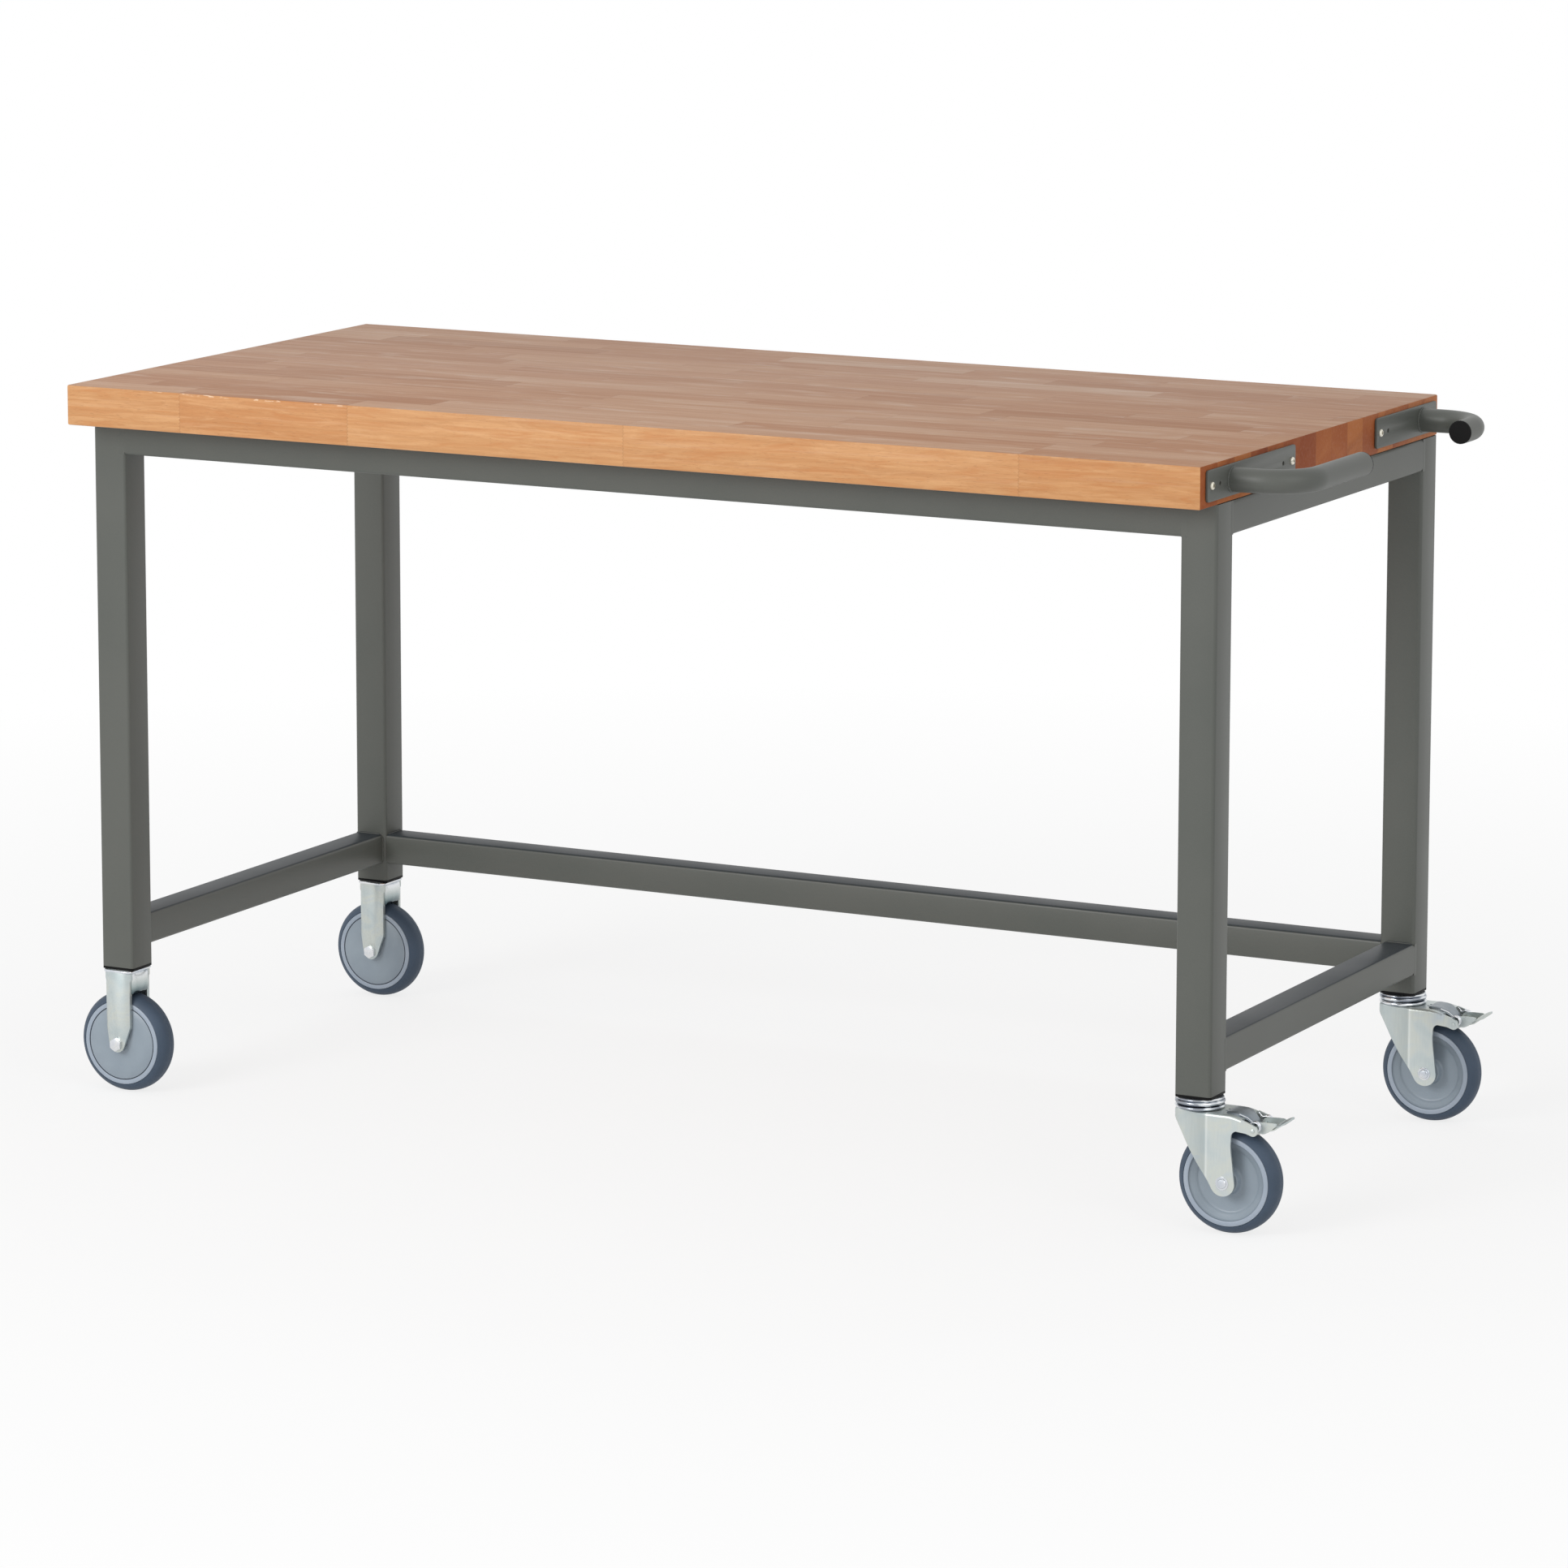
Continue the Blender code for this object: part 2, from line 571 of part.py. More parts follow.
def fork_side():
    """The fork seen from the side: nose, slanting front edge, round axle end, arch and brake lug."""
    side = [(-0.0270, FORK_TOP), (-0.0270, FORK_TOP - 0.0088)]
    side += [(-0.0170, FORK_TOP - 0.0243), (-0.0060, FORK_TOP - 0.0433)]
    side += [(0.0080, WHEEL_RADIUS + 0.0175), (0.0200, WHEEL_RADIUS + 0.0045)]
    side += arc((TRAIL, WHEEL_RADIUS), 0.0150, 200, 350, 8)
    side += [(0.0525, WHEEL_RADIUS + 0.0205), (0.0492, FORK_TOP - 0.0363), (0.0500, FORK_TOP - 0.0253)]
    side += arc((0.0572, FORK_TOP - 0.0245), 0.0072, 170, 100, 3)
    side += [(PEDAL_X - 0.0085, FORK_TOP - 0.0183), (PEDAL_X + 0.0025, FORK_TOP - 0.0218)]
    side += arc((PEDAL_X, PEDAL_Z), 0.0062, -50, 60, 4)
    side += [(PEDAL_X - 0.0085, FORK_TOP - 0.0051), (0.0570, FORK_TOP - 0.0018), (0.0480, FORK_TOP)]
    return side


def build_fork(prefix, x, y):
    """The swivel fork: pressed sheet, its front folded inwards and its back end carrying the brake."""
    fork = place(f"{prefix}_fork", slab(fork_side(), -0.05, 0.05, "Y"), ZINC, (x, y, 0), smooth=25)
    half = FORK_HALF_WIDTH
    nose = 0.0150
    fold = 0.0188
    plan = [(0.090, half), (fold, half), (-0.0215, nose)]
    plan += [(-0.0270, 0.0105), (-0.0270, -0.0105)]
    plan += [(-0.0215, -nose), (fold, -half), (0.090, -half)]
    boolean(fork, slab(plan, 0.0, CASTOR_TOP, "Z"), "INTERSECT")
    inner = [(0.100, half - SHEET), (fold, half - SHEET), (-0.0205, nose - SHEET)]
    inner += [(-0.0245, 0.0090), (-0.0245, -0.0090)]
    inner += [(-0.0205, SHEET - nose), (fold, SHEET - half), (0.100, SHEET - half)]
    ceiling = FORK_TOP - SHEET
    under = [(-0.05, 0.0), (-0.05, ceiling), (0.0470, ceiling)]
    under += [(0.0560, ceiling - 0.0018), (0.0670, ceiling - 0.0052)]
    under += [(0.0860, ceiling - 0.0136), (0.0860, 0.0)]
    hollow = slab(inner, 0.0, CASTOR_TOP, "Z")
    boolean(fork, trimmed(hollow, slab(under, -0.05, 0.05, "Y")))
    boolean(fork, rod(AXLE_RADIUS + CLEARANCE, -0.04, 0.04, 16, "Y", (TRAIL, WHEEL_RADIUS)))
    boolean(fork, rod(PEDAL_PIN_RADIUS + CLEARANCE, -0.04, 0.04, 12, "Y", (PEDAL_X, PEDAL_Z)))
    boolean(fork, rod(STEM_RADIUS + CLEARANCE, ceiling - 0.02, CASTOR_TOP))
    gap = [(0.0620, -0.0190), (0.0960, -0.0190), (0.0960, 0.0190), (0.0620, 0.0190)]
    boolean(fork, slab(gap, FORK_TOP - 0.0323, FORK_TOP + 0.0077, "Z"))


def trimmed(mesh, by):
    """The part that two shapes have in common."""
    first = bpy.data.objects.new("first", mesh)
    second = bpy.data.objects.new("second", by)
    for thing in (first, second):
        bpy.context.scene.collection.objects.link(thing)
    meet = first.modifiers.new("meet", "BOOLEAN")
    meet.operation = "INTERSECT"
    meet.solver = "EXACT"
    meet.object = second
    bpy.context.view_layer.update()
    graph = bpy.context.evaluated_depsgraph_get()
    result = bpy.data.meshes.new_from_object(first.evaluated_get(graph))
    bpy.data.objects.remove(first, do_unlink=True)
    bpy.data.objects.remove(second, do_unlink=True)
    return result


def band(points, thickness):
    """The outline of a sheet of even thickness lying on a line of points."""
    upper, lower = [], []
    for i, (a, b) in enumerate(points):
        before = points[max(i - 1, 0)]
        after = points[min(i + 1, len(points) - 1)]
        along = Vector((after[0] - before[0], after[1] - before[1])).normalized()
        side = Vector((-along.y, along.x)) * thickness
        upper.append((a + side.x, b + side.y))
        lower.append((a, b))
    return lower + upper[::-1]


def build_brake(prefix, x, y):
    """The spring leaf on the fork and the foot pedal that turns on a pin through the fork."""
    leaf_line = [(0.0350, FORK_TOP + CLEARANCE), (0.0485, FORK_TOP + CLEARANCE)]
    leaf_line += [(0.0575, FORK_TOP - 0.0010), (0.0690, FORK_TOP - 0.0044)]
    leaf = slab(band(leaf_line, 0.0016), -0.0175, 0.0175, "Y")
    place(f"{prefix}_brake_leaf", leaf, BLUE_ZINC, (x, y, 0))
    step = PEDAL_BARREL_RADIUS
    sheet_line = [(0.0, -step + 0.0005), (0.0110, -0.0050), (0.0180, -0.0018)]
    sheet_line += [(0.0260, 0.0055), (0.0350, 0.0118)]
    pedal = place(
        f"{prefix}_pedal",
        slab(band(sheet_line, PEDAL_SHEET), -0.05, 0.05, "Y"),
        ZINC,
        (x + PEDAL_X, y, PEDAL_Z),
        smooth=25,
    )
    wing = [(-0.004, -0.0175), (0.0150, -0.0175), (0.0200, -0.0165)]
    wing += arc((0.0235, 0), 0.0115, -80, 80, 8)
    wing += [(0.0200, 0.0165), (0.0150, 0.0175), (-0.004, 0.0175)]
    boolean(pedal, slab(wing, -0.03, 0.03, "Z"), "INTERSECT")
    cheek = [(-0.0020, -0.0020), (0.0060, -0.0062), (0.0150, -0.0050)]
    cheek += [(0.0165, 0.0015), (0.0080, 0.0050), (0.0, 0.0036)]
    for low, high in ((-0.0178, -0.0154), (0.0154, 0.0178)):
        boolean(pedal, slab(cheek, low, high, "Y"), "UNION")
    boolean(pedal, rod(PEDAL_BARREL_RADIUS, -0.0176, 0.0176, 16, "Y"), "UNION")
    pin_half = FORK_HALF_WIDTH + 0.0045
    boolean(pedal, rod(PEDAL_PIN_RADIUS, -pin_half, pin_half, 12, "Y"), "UNION")


def build_swivel_castor(row, y):
    prefix = f"swivel_{row}"
    x = LEG_RIGHT_X
    build_races(prefix, x, y)
    build_stem(prefix, x, y, FORK_TOP - SHEET - CLEARANCE, 0.004)
    build_fork(prefix, x, y)
    build_brake(prefix, x, y)
    build_axle(prefix, (x + TRAIL, y, WHEEL_RADIUS))


build_worktop()
build_legs()
build_rails()
build_inserts()
build_handle("front", TOP_FRONT, 1, FRONT_PLATE, FRONT_HANDLE)
build_handle("back", TOP_BACK, -1, BACK_PLATE, BACK_HANDLE)
for row_name, row_y in (("front", LEG_FRONT_Y), ("back", LEG_BACK_Y)):
    build_fixed_castor(row_name, row_y)
    build_swivel_castor(row_name, row_y)
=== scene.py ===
import math

import bmesh
import bpy
from mathutils import Matrix, Vector


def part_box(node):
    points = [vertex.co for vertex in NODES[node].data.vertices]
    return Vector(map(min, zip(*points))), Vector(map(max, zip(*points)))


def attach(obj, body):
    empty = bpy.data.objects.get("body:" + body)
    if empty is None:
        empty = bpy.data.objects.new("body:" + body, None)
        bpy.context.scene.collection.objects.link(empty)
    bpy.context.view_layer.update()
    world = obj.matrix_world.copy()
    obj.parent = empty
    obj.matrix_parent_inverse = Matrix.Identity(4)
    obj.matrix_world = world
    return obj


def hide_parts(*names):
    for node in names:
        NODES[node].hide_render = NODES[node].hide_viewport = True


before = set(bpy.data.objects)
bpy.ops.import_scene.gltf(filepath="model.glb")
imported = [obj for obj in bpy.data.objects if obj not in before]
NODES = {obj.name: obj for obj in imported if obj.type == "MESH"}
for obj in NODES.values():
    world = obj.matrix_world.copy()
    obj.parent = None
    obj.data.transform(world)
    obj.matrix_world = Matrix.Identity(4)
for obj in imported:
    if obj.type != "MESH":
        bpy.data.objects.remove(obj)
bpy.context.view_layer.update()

SCENE = bpy.context.scene
WHITE = (1.0, 1.0, 1.0, 1.0)
X, Y, Z = Vector((1, 0, 0)), Vector((0, 1, 0)), Vector((0, 0, 1))
TO_FRONT = Matrix.Rotation(math.radians(90), 4, "X")
TO_BACK = Matrix.Rotation(math.radians(-90), 4, "X")
TO_RIGHT = Matrix.Rotation(math.radians(90), 4, "Y")

# Places of the bench, in metres
TOP_LOW, TOP_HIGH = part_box("worktop")
STAVE_WIDTH = 0.0467
FRONT_JOINTS = (-0.620, -0.385, -0.012, 0.4955)
LEG = 0.045
LEFT_FACE, RIGHT_FACE, FRONT_FACE, BACK_FACE = -0.776, 0.718, -0.30765, 0.34435
ROWS = (("front", -0.28515), ("back", 0.32185))
WHEEL_Z = 0.0625
FIXED_X = -0.7535
STEM_X = 0.6955
AXLE_X = 0.7351
PIVOT_X, PIVOT_Z = 0.7720, 0.1275
PARTING = 0.0463
FORK_FOLD = 0.0188


def linear(*colour):
    """A colour given in 0 to 255 screen values, as the shader takes it."""
    out = []
    for value in colour:
        c = value / 255
        out.append(c / 12.92 if c <= 0.04045 else ((c + 0.055) / 1.055) ** 2.4)
    return (*out, 1.0)


def stops(*rows):
    """Colour stops, each given as its place and its screen values."""
    return [(place, linear(*tone)) for place, *tone in rows]


# Writing of node trees
class Graph:
    """A node tree, with short calls for the nodes used here."""

    def __init__(self, tree):
        self.tree = tree
        tree.nodes.clear()

    def put(self, socket, value):
        if isinstance(value, bpy.types.NodeSocket):
            self.tree.links.new(value, socket)
        else:
            socket.default_value = value

    def node(self, kind, *values, **settings):
        """A new node with these settings, its first inputs filled in order."""
        node = self.tree.nodes.new(kind)
        for name, value in settings.items():
            setattr(node, name, value)
        for socket, value in zip(node.inputs, values):
            self.put(socket, value)
        return node

    def math(self, operation, a, b=0.0, c=0.0):
        return self.node("ShaderNodeMath", a, b, c, operation=operation).outputs[0]

    def less(self, a, b):
        return self.math("SUBTRACT", a, b)

    def times(self, a, b):
        return self.math("MULTIPLY", a, b)

    def plus(self, a, factor, rest):
        """The first value times the factor, and the rest added."""
        return self.math("MULTIPLY_ADD", a, factor, rest)

    def far(self, a, b):
        """How far the place (a, b) lies from (0, 0)."""
        squares = [self.math("POWER", side, 2.0) for side in (a, b)]
        return self.math("SQRT", self.math("ADD", *squares))

    def mix(self, factor, a, b):
        node = self.node("ShaderNodeMix", factor, data_type="RGBA")
        self.put(node.inputs[6], a)
        self.put(node.inputs[7], b)
        return node.outputs[2]

    def join(self, x, y, z):
        return self.node("ShaderNodeCombineXYZ", x, y, z).outputs[0]

    def split(self, vector):
        return tuple(self.node("ShaderNodeSeparateXYZ", vector).outputs)

    def place(self, which="Object"):
        return self.node("ShaderNodeTexCoord").outputs[which]

    def noise(self, vector, scale, detail=3.0, roughness=0.5, distortion=0.0):
        """Cloudy noise, stretched where the scale is three numbers."""
        if isinstance(scale, tuple):
            vector = self.node("ShaderNodeVectorMath", vector, scale, operation="MULTIPLY").outputs[0]
            scale = 1.0
        node = self.node("ShaderNodeTexNoise", vector)
        named = {"Scale": scale, "Detail": detail, "Roughness": roughness, "Distortion": distortion}
        for name, value in named.items():
            self.put(node.inputs[name], value)
        return node.outputs["Fac"]

    def dice(self, x, y, z):
        """A chance value for the place, and three more as a colour."""
        node = self.node("ShaderNodeTexWhiteNoise", self.join(x, y, z), noise_dimensions="3D")
        return node.outputs["Value"], node.outputs["Color"]

    def span(self, value, low, high, to_low=0.0, to_high=1.0):
        """The value carried from one range to another, and held at its ends."""
        return self.node("ShaderNodeMapRange", value, low, high, to_low, to_high, clamp=True).outputs[0]

    def ramp(self, value, rows):
        node = self.node("ShaderNodeValToRGB", value)
        elements = node.color_ramp.elements
        while len(elements) < len(rows):
            elements.new(0.5)
        for element, (place, colour) in zip(elements, rows):
            element.position = place
            element.color = colour
        return node.outputs[0]

    def seen(self):
        """1 for what the camera sees, also in gloss or through glass, and 0 for what lights the object."""
        path = self.node("ShaderNodeLightPath").outputs
        direct = self.math("MAXIMUM", path["Is Camera Ray"], path["Is Glossy Ray"])
        return self.math("MAXIMUM", direct, path["Is Transmission Ray"])


class Surface(Graph):
    """A material's node tree round one principled shader."""

    def __init__(self, name):
        self.material = bpy.data.materials.new(name)
        self.material.use_nodes = True
        super().__init__(self.material.node_tree)
        self.shader = self.node("ShaderNodeBsdfPrincipled")
        self.out = self.node("ShaderNodeOutputMaterial", self.shader.outputs[0])
        self.at = self.place()

    def set(self, **values):
        for name, value in values.items():
            self.put(self.shader.inputs[name.replace("_", " ")], value)

    def bump(self, height, strength, distance):
        node = self.node("ShaderNodeBump")
        for name, value in (("Strength", strength), ("Distance", distance), ("Height", height)):
            self.put(node.inputs[name], value)
        self.set(Normal=node.outputs[0])


# Materials
ZINC_TINTS = ((186, 197, 198), (196, 204, 203), (202, 207, 201), (192, 201, 206))
BRIGHT_TINTS = ((204, 210, 218), (220, 223, 228), (228, 229, 230), (212, 218, 226))
SCREW_TINTS = ((214, 208, 188), (224, 219, 203), (230, 226, 214), (220, 214, 196))
DARK_TINTS = ((118, 128, 136), (134, 143, 150), (144, 152, 158), (124, 134, 143))
# Tones of the painted reflection bands on bright plate: dark, middle and light.
REFLECTED_DARK, REFLECTED_MID, REFLECTED_LIGHT = (104, 113, 124), (164, 173, 182), (226, 229, 232)


def paint():
    """Satin powder coat: grey green with fine orange peel, and painted shade, bluer and darker with less
    gloss, on the up faces of the low rails.
    """
    t = Surface("paint")
    cloud = t.noise(t.at, 6.0, 3.0)
    grain = t.noise(t.at, 950.0, 2.0)
    tone = t.mix(t.span(cloud, 0.35, 0.65), linear(81, 84, 79), linear(86, 88, 83))
    tone = t.mix(t.span(grain, 0.35, 0.70, 0.0, 0.14), tone, linear(100, 103, 98))
    # Painted shade: up faces below 0.35 m are darkened, made bluer and given less gloss, as the worktop above
    # shades them and darkens what they reflect.
    low_down = t.span(t.split(t.at)[2], 0.40, 0.30)
    painted_shade_on_tops = t.times(t.span(t.split(t.place("Normal"))[2], 0.55, 0.85), low_down)
    tone = t.mix(painted_shade_on_tops, tone, linear(56, 62, 66))
    t.set(Base_Color=tone, Roughness=t.span(cloud, 0.3, 0.7, 0.40, 0.48))
    t.set(Specular_IOR_Level=t.plus(painted_shade_on_tops, -0.36, 0.5))
    t.bump(t.noise(t.at, 620.0, 2.0), 0.10, 0.0003)
    return t.material


def staves(t, x, y, z):
    """Row, front row or not, glue line, and four chance values of the piece of wood at a place."""
    across = t.math("DIVIDE", t.less(y, TOP_LOW.y - 0.0004), STAVE_WIDTH)
    row = t.math("FLOOR", across)
    first = t.math("LESS_THAN", row, 0.5)
    shift, _ = t.dice(row, 3.7, 1.3)
    spread_out, _ = t.dice(row, 8.1, 5.9)
    level = t.plus(t.math("PINGPONG", z, 0.0020), 0.9, x)
    along = t.math("ADD", level, t.plus(shift, 0.6, 5.0))
    along = t.math("DIVIDE", along, t.plus(spread_out, 0.16, 0.24))
    part = t.math("FLOOR", along)
    joint = t.math("LESS_THAN", t.math("PINGPONG", along, 0.5), 0.0012)
    front_part = front_joint = 0.0
    for place in FRONT_JOINTS:
        front_part = t.math("ADD", front_part, t.math("GREATER_THAN", level, place))
        near = t.math("LESS_THAN", t.math("ABSOLUTE", t.less(level, place)), 0.0004)
        front_joint = t.math("MAXIMUM", front_joint, near)
    part = t.plus(first, t.less(front_part, part), part)
    joint = t.plus(first, t.less(front_joint, joint), joint)
    seam = t.math("LESS_THAN", t.math("PINGPONG", t.math("FRACT", across), 0.5), 0.006)
    chance, more = t.dice(row, part, 0.5)
    return row, first, t.math("MAXIMUM", seam, t.times(joint, 0.7)), chance, *t.split(more)


def beech():
    """Finger-jointed beech staves: tone and grain change from one piece of wood to the next."""
    t = Surface("beech")
    x, y, z = t.split(t.at)
    row, first, line, chance, second, third, fourth = staves(t, x, y, z)

    # Growth rings round a heart beside the piece, so that sides show lines and ends show arcs
    wander = t.noise(t.join(t.plus(chance, 9.0, x), y, z), (3, 26, 26), 2.0)
    side_y = t.less(t.less(y, t.times(row, STAVE_WIDTH)), t.plus(second, 0.16, -0.056))
    side_z = t.less(z, t.plus(third, 0.10, 0.890))
    reach = t.plus(wander, 0.007, t.far(side_y, side_z))
    ring = t.math("POWER", t.math("FRACT", t.math("DIVIDE", reach, 0.0034)), 1.8)

    # Tones of the top, the long edges and the sawn ends
    top = t.ramp(chance, stops(
        (0.00, 172, 124, 91), (0.14, 179, 132, 100), (0.40, 185, 140, 109),
        (0.70, 190, 147, 116), (0.90, 195, 155, 126), (1.00, 199, 164, 138),
    ))
    edge = t.ramp(second, stops((0.0, 201, 143, 93), (0.5, 203, 148, 97), (1.0, 206, 152, 102)))
    end = t.ramp(third, stops((0.0, 143, 73, 40), (0.5, 161, 89, 47), (1.0, 179, 109, 61)))
    nx, ny, _ = t.split(t.place("Normal"))
    is_edge = t.span(t.math("ABSOLUTE", ny), 0.45, 0.75)
    is_end = t.span(t.math("ABSOLUTE", nx), 0.45, 0.75)
    is_top = t.less(1.0, t.math("MAXIMUM", is_edge, is_end))
    grained = t.less(1.0, t.times(is_end, 0.7))
    wood = t.mix(t.times(t.span(x, -0.75, 0.72, 0.0, 0.26), is_top), top, linear(168, 118, 82))
    wood = t.mix(is_end, t.mix(is_edge, wood, edge), end)

    # Fibres, flecks, worn light streaks, saw marks and the rubbed upper arris of the front
    moved_on = t.join(t.plus(chance, 3.0, x), t.plus(fourth, 2.0, y), z)
    fibre = t.noise(moved_on, (6, 260, 260), 5.0, 0.62, 0.3)
    wave = t.noise(moved_on, (3.5, 62, 62), 3.0, 0.55, 1.4)
    fleck = t.noise(moved_on, (120, 1300, 1300), 1.0, 0.4)
    streak = t.noise(moved_on, (3.2, 30, 30), 3.0, 0.6)
    smear = t.noise(moved_on, (9.0, 46, 46), 4.0, 0.62, 0.5)
    slant = t.join(x, y, t.plus(t.less(third, 0.5), t.times(x, 0.12), z))
    figure = t.noise(slant, (15, 165, 165), 4.0, 0.6, 0.9)
    patch = t.noise(t.at, (2.6, 9.0, 9.0), 3.0, 0.55, 0.8)
    sawn = t.join(0.0, t.plus(y, 70.0, t.times(reach, 60.0)), t.times(z, 14.0))
    sawn = t.noise(sawn, 1.0, 3.0, 0.6, 0.6)
    chips = t.noise(t.at, (75, 300, 300), 2.0, 0.6)
    arris = t.times(t.span(z, TOP_HIGH.z - 0.0034, TOP_HIGH.z - 0.0013), first)
    most_used = t.times(t.span(x, -0.68, -0.60), t.span(x, -0.36, -0.44))
    rubbed = t.times(t.times(arris, t.plus(most_used, 0.62, 0.08)), is_edge)
    wood = t.mix(t.times(ring, t.plus(is_end, -0.01, 0.06)), wood, linear(112, 62, 36))
    layers = (
        (fibre, 0.44, 0.68, 0.108, grained, (108, 62, 38)),
        (fibre, 0.46, 0.28, 0.18, grained, (222, 190, 160)),
        (wave, 0.48, 0.66, 0.119, grained, (150, 88, 48)),
        (wave, 0.46, 0.30, 0.26, is_edge, (226, 176, 124)),
        (figure, 0.50, 0.70, 0.46, is_edge, (190, 120, 66)),
        (figure, 0.48, 0.30, 0.42, is_edge, (222, 172, 124)),
        (patch, 0.52, 0.72, 0.30, is_top, (206, 180, 160)),
        (patch, 0.48, 0.30, 0.22, is_top, (164, 116, 88)),
        (streak, 0.58, 0.76, 0.30, is_top, (214, 190, 168)),
        (smear, 0.56, 0.78, 0.46, is_top, (218, 200, 184)),
        (fleck, 0.64, 0.72, 0.20, 1.0, (122, 72, 44)),
        (sawn, 0.50, 0.68, 0.50, is_end, (116, 56, 34)),
        (sawn, 0.46, 0.32, 0.30, is_end, (184, 116, 68)),
        (chips, 0.57, 0.63, 1.0, rubbed, (250, 226, 198)),
    )
    for pattern, start, full, most, where, tone in layers:
        wood = t.mix(t.times(t.span(pattern, start, full, 0.0, most), where), wood, linear(*tone))
    wood = t.mix(t.times(line, 0.36), wood, linear(96, 58, 38))
    t.set(Base_Color=wood, Roughness=t.span(fibre, 0.3, 0.7, 0.50, 0.64))
    t.set(Specular_IOR_Level=t.plus(is_end, -0.18, 0.32))
    t.bump(t.less(t.plus(ring, -0.2, fibre), t.times(line, 0.8)), 0.20, 0.0004)
    return t.material


def clouded(t, tints, scale):
    """A cloudy tint that changes over the surface."""
    cloud = t.noise(t.at, scale, 2.0, 0.5, 0.6)
    return t.ramp(cloud, stops(*((place, *tint) for place, tint in zip((0.28, 0.46, 0.60, 0.74), tints))))


def drawn(t, fine, colour, dirt, metallic, rough_low, rough_high):
    """The finished material of a plated surface with a fine drawn grain."""
    colour = t.mix(t.span(fine, 0.3, 0.7, 0.0, dirt), colour, linear(120, 126, 130))
    t.set(Base_Color=colour, Metallic=metallic, Roughness=t.span(fine, 0.3, 0.7, rough_low, rough_high))
    t.bump(fine, 0.08, 0.0002)
    return t.material


def plated(name, tints, rough, metallic):
    """Zinc plate."""
    t = Surface(name)
    fine = t.noise(t.at, 420.0, 3.0)
    return drawn(t, fine, clouded(t, tints, 38.0), 0.10, metallic, rough - 0.05, rough + 0.07)


def fork_plate():
    """Zinc plate on the swivel forks, with painted shade on the cheek in front of the fold and a painted
    highlight along the fold.
    """
    t = Surface("fork_plate")
    bend = t.less(STEM_X + FORK_FOLD, t.split(t.at)[0])
    # Painted shade: the cheek in front of the fold is dulled towards a darker zinc, as its curve turns from
    # the light.
    pressed = t.times(t.span(bend, 0.0, 0.0025), t.span(bend, 0.0320, 0.0060))
    colour = t.mix(t.times(pressed, 0.42), clouded(t, ZINC_TINTS, 30.0), linear(158, 170, 172))
    # Painted highlight: a pale stripe along the fold.
    painted_highlight = t.times(t.span(bend, -0.0030, -0.0004), t.span(bend, 0.0010, 0.0))
    colour = t.mix(t.times(painted_highlight, 0.5), colour, linear(232, 236, 234))
    return drawn(t, t.noise(t.at, (420.0, 420.0, 42.0), 3.0), colour, 0.08, 0.72, 0.31, 0.42)


def reflection_banded_plate(name, low, high, rows, sway, cloudy=0.0):
    """Bright plate with painted reflections and painted shade in bands that follow the height, dark in
    grooves and along under sides, with painted dark and white reflection patches too where asked.
    """
    t = Surface(name)
    wave = t.noise(t.at, (60, 60, 20), 2.0, 0.5, 0.4)
    level = t.plus(t.less(wave, 0.5), sway, t.split(t.at)[2])
    # Painted reflections and painted shade: the tone is read off a ramp by height, so grooves and under sides
    # come out dark and the bands between them light.
    tone = t.ramp(t.span(level, low, high), rows)
    # Painted reflections: dark and white patches from a cloud, as a bright ring reflects a room of dark and
    # light.
    if cloudy:
        cloud = t.noise(t.at, (62, 62, 130), 1.0, 0.4)
        tone = t.mix(t.span(cloud, 0.51, 0.58, 0.0, cloudy), tone, linear(92, 98, 112))
        tone = t.mix(t.span(cloud, 0.47, 0.40, 0.0, cloudy), tone, linear(240, 242, 244))
    t.set(Base_Color=tone, Metallic=0.9, Roughness=t.span(wave, 0.3, 0.7, 0.16, 0.26))
    t.bump(t.noise(t.at, 420.0, 2.0), 0.05, 0.0002)
    return t.material


def plastic(name, dark, light, rough, grain, depth, sheen=0.5):
    """Moulded plastic or rubber with a fine eroded surface."""
    t = Surface(name)
    cloud = t.noise(t.at, 22.0, 3.0)
    fine = t.noise(t.at, grain, 2.0)
    t.set(Base_Color=t.mix(t.span(cloud, 0.3, 0.7), linear(*dark), linear(*light)), Specular_IOR_Level=sheen)
    t.set(Roughness=t.span(fine, 0.3, 0.7, rough - 0.05, rough + 0.06))
    t.bump(fine, 0.12, depth)
    return t.material


def wheel_plastic(name, x, covered):
    """The wheel's hard centre, with the dark parting line between its rim and its web or cover."""
    t = Surface(name)
    place_x, _, place_z = t.split(t.at)
    out = t.far(t.less(place_x, x), t.less(place_z, WHEEL_Z))
    cloud = t.span(t.noise(t.at, 26.0, 3.0), 0.3, 0.7)
    fine = t.noise(t.at, 900.0, 2.0)
    face = t.mix(cloud, linear(138, 150, 161), linear(148, 160, 170))
    rim = t.mix(cloud, linear(152, 164, 178), linear(162, 173, 186))
    colour = t.mix(t.span(out, PARTING - 0.0001, PARTING + 0.0003), face, rim)
    half_line, depth = (0.0006, 0.85) if covered else (0.0003, 0.30)
    line = t.math("LESS_THAN", t.math("ABSOLUTE", t.less(out, PARTING)), half_line)
    colour = t.mix(t.times(line, depth), colour, linear(52, 60, 74))
    t.set(Base_Color=colour, Roughness=t.span(fine, 0.3, 0.7, 0.30, 0.40))
    t.bump(t.less(fine, t.times(line, 2.0)), 0.08, 0.0003)
    return t.material


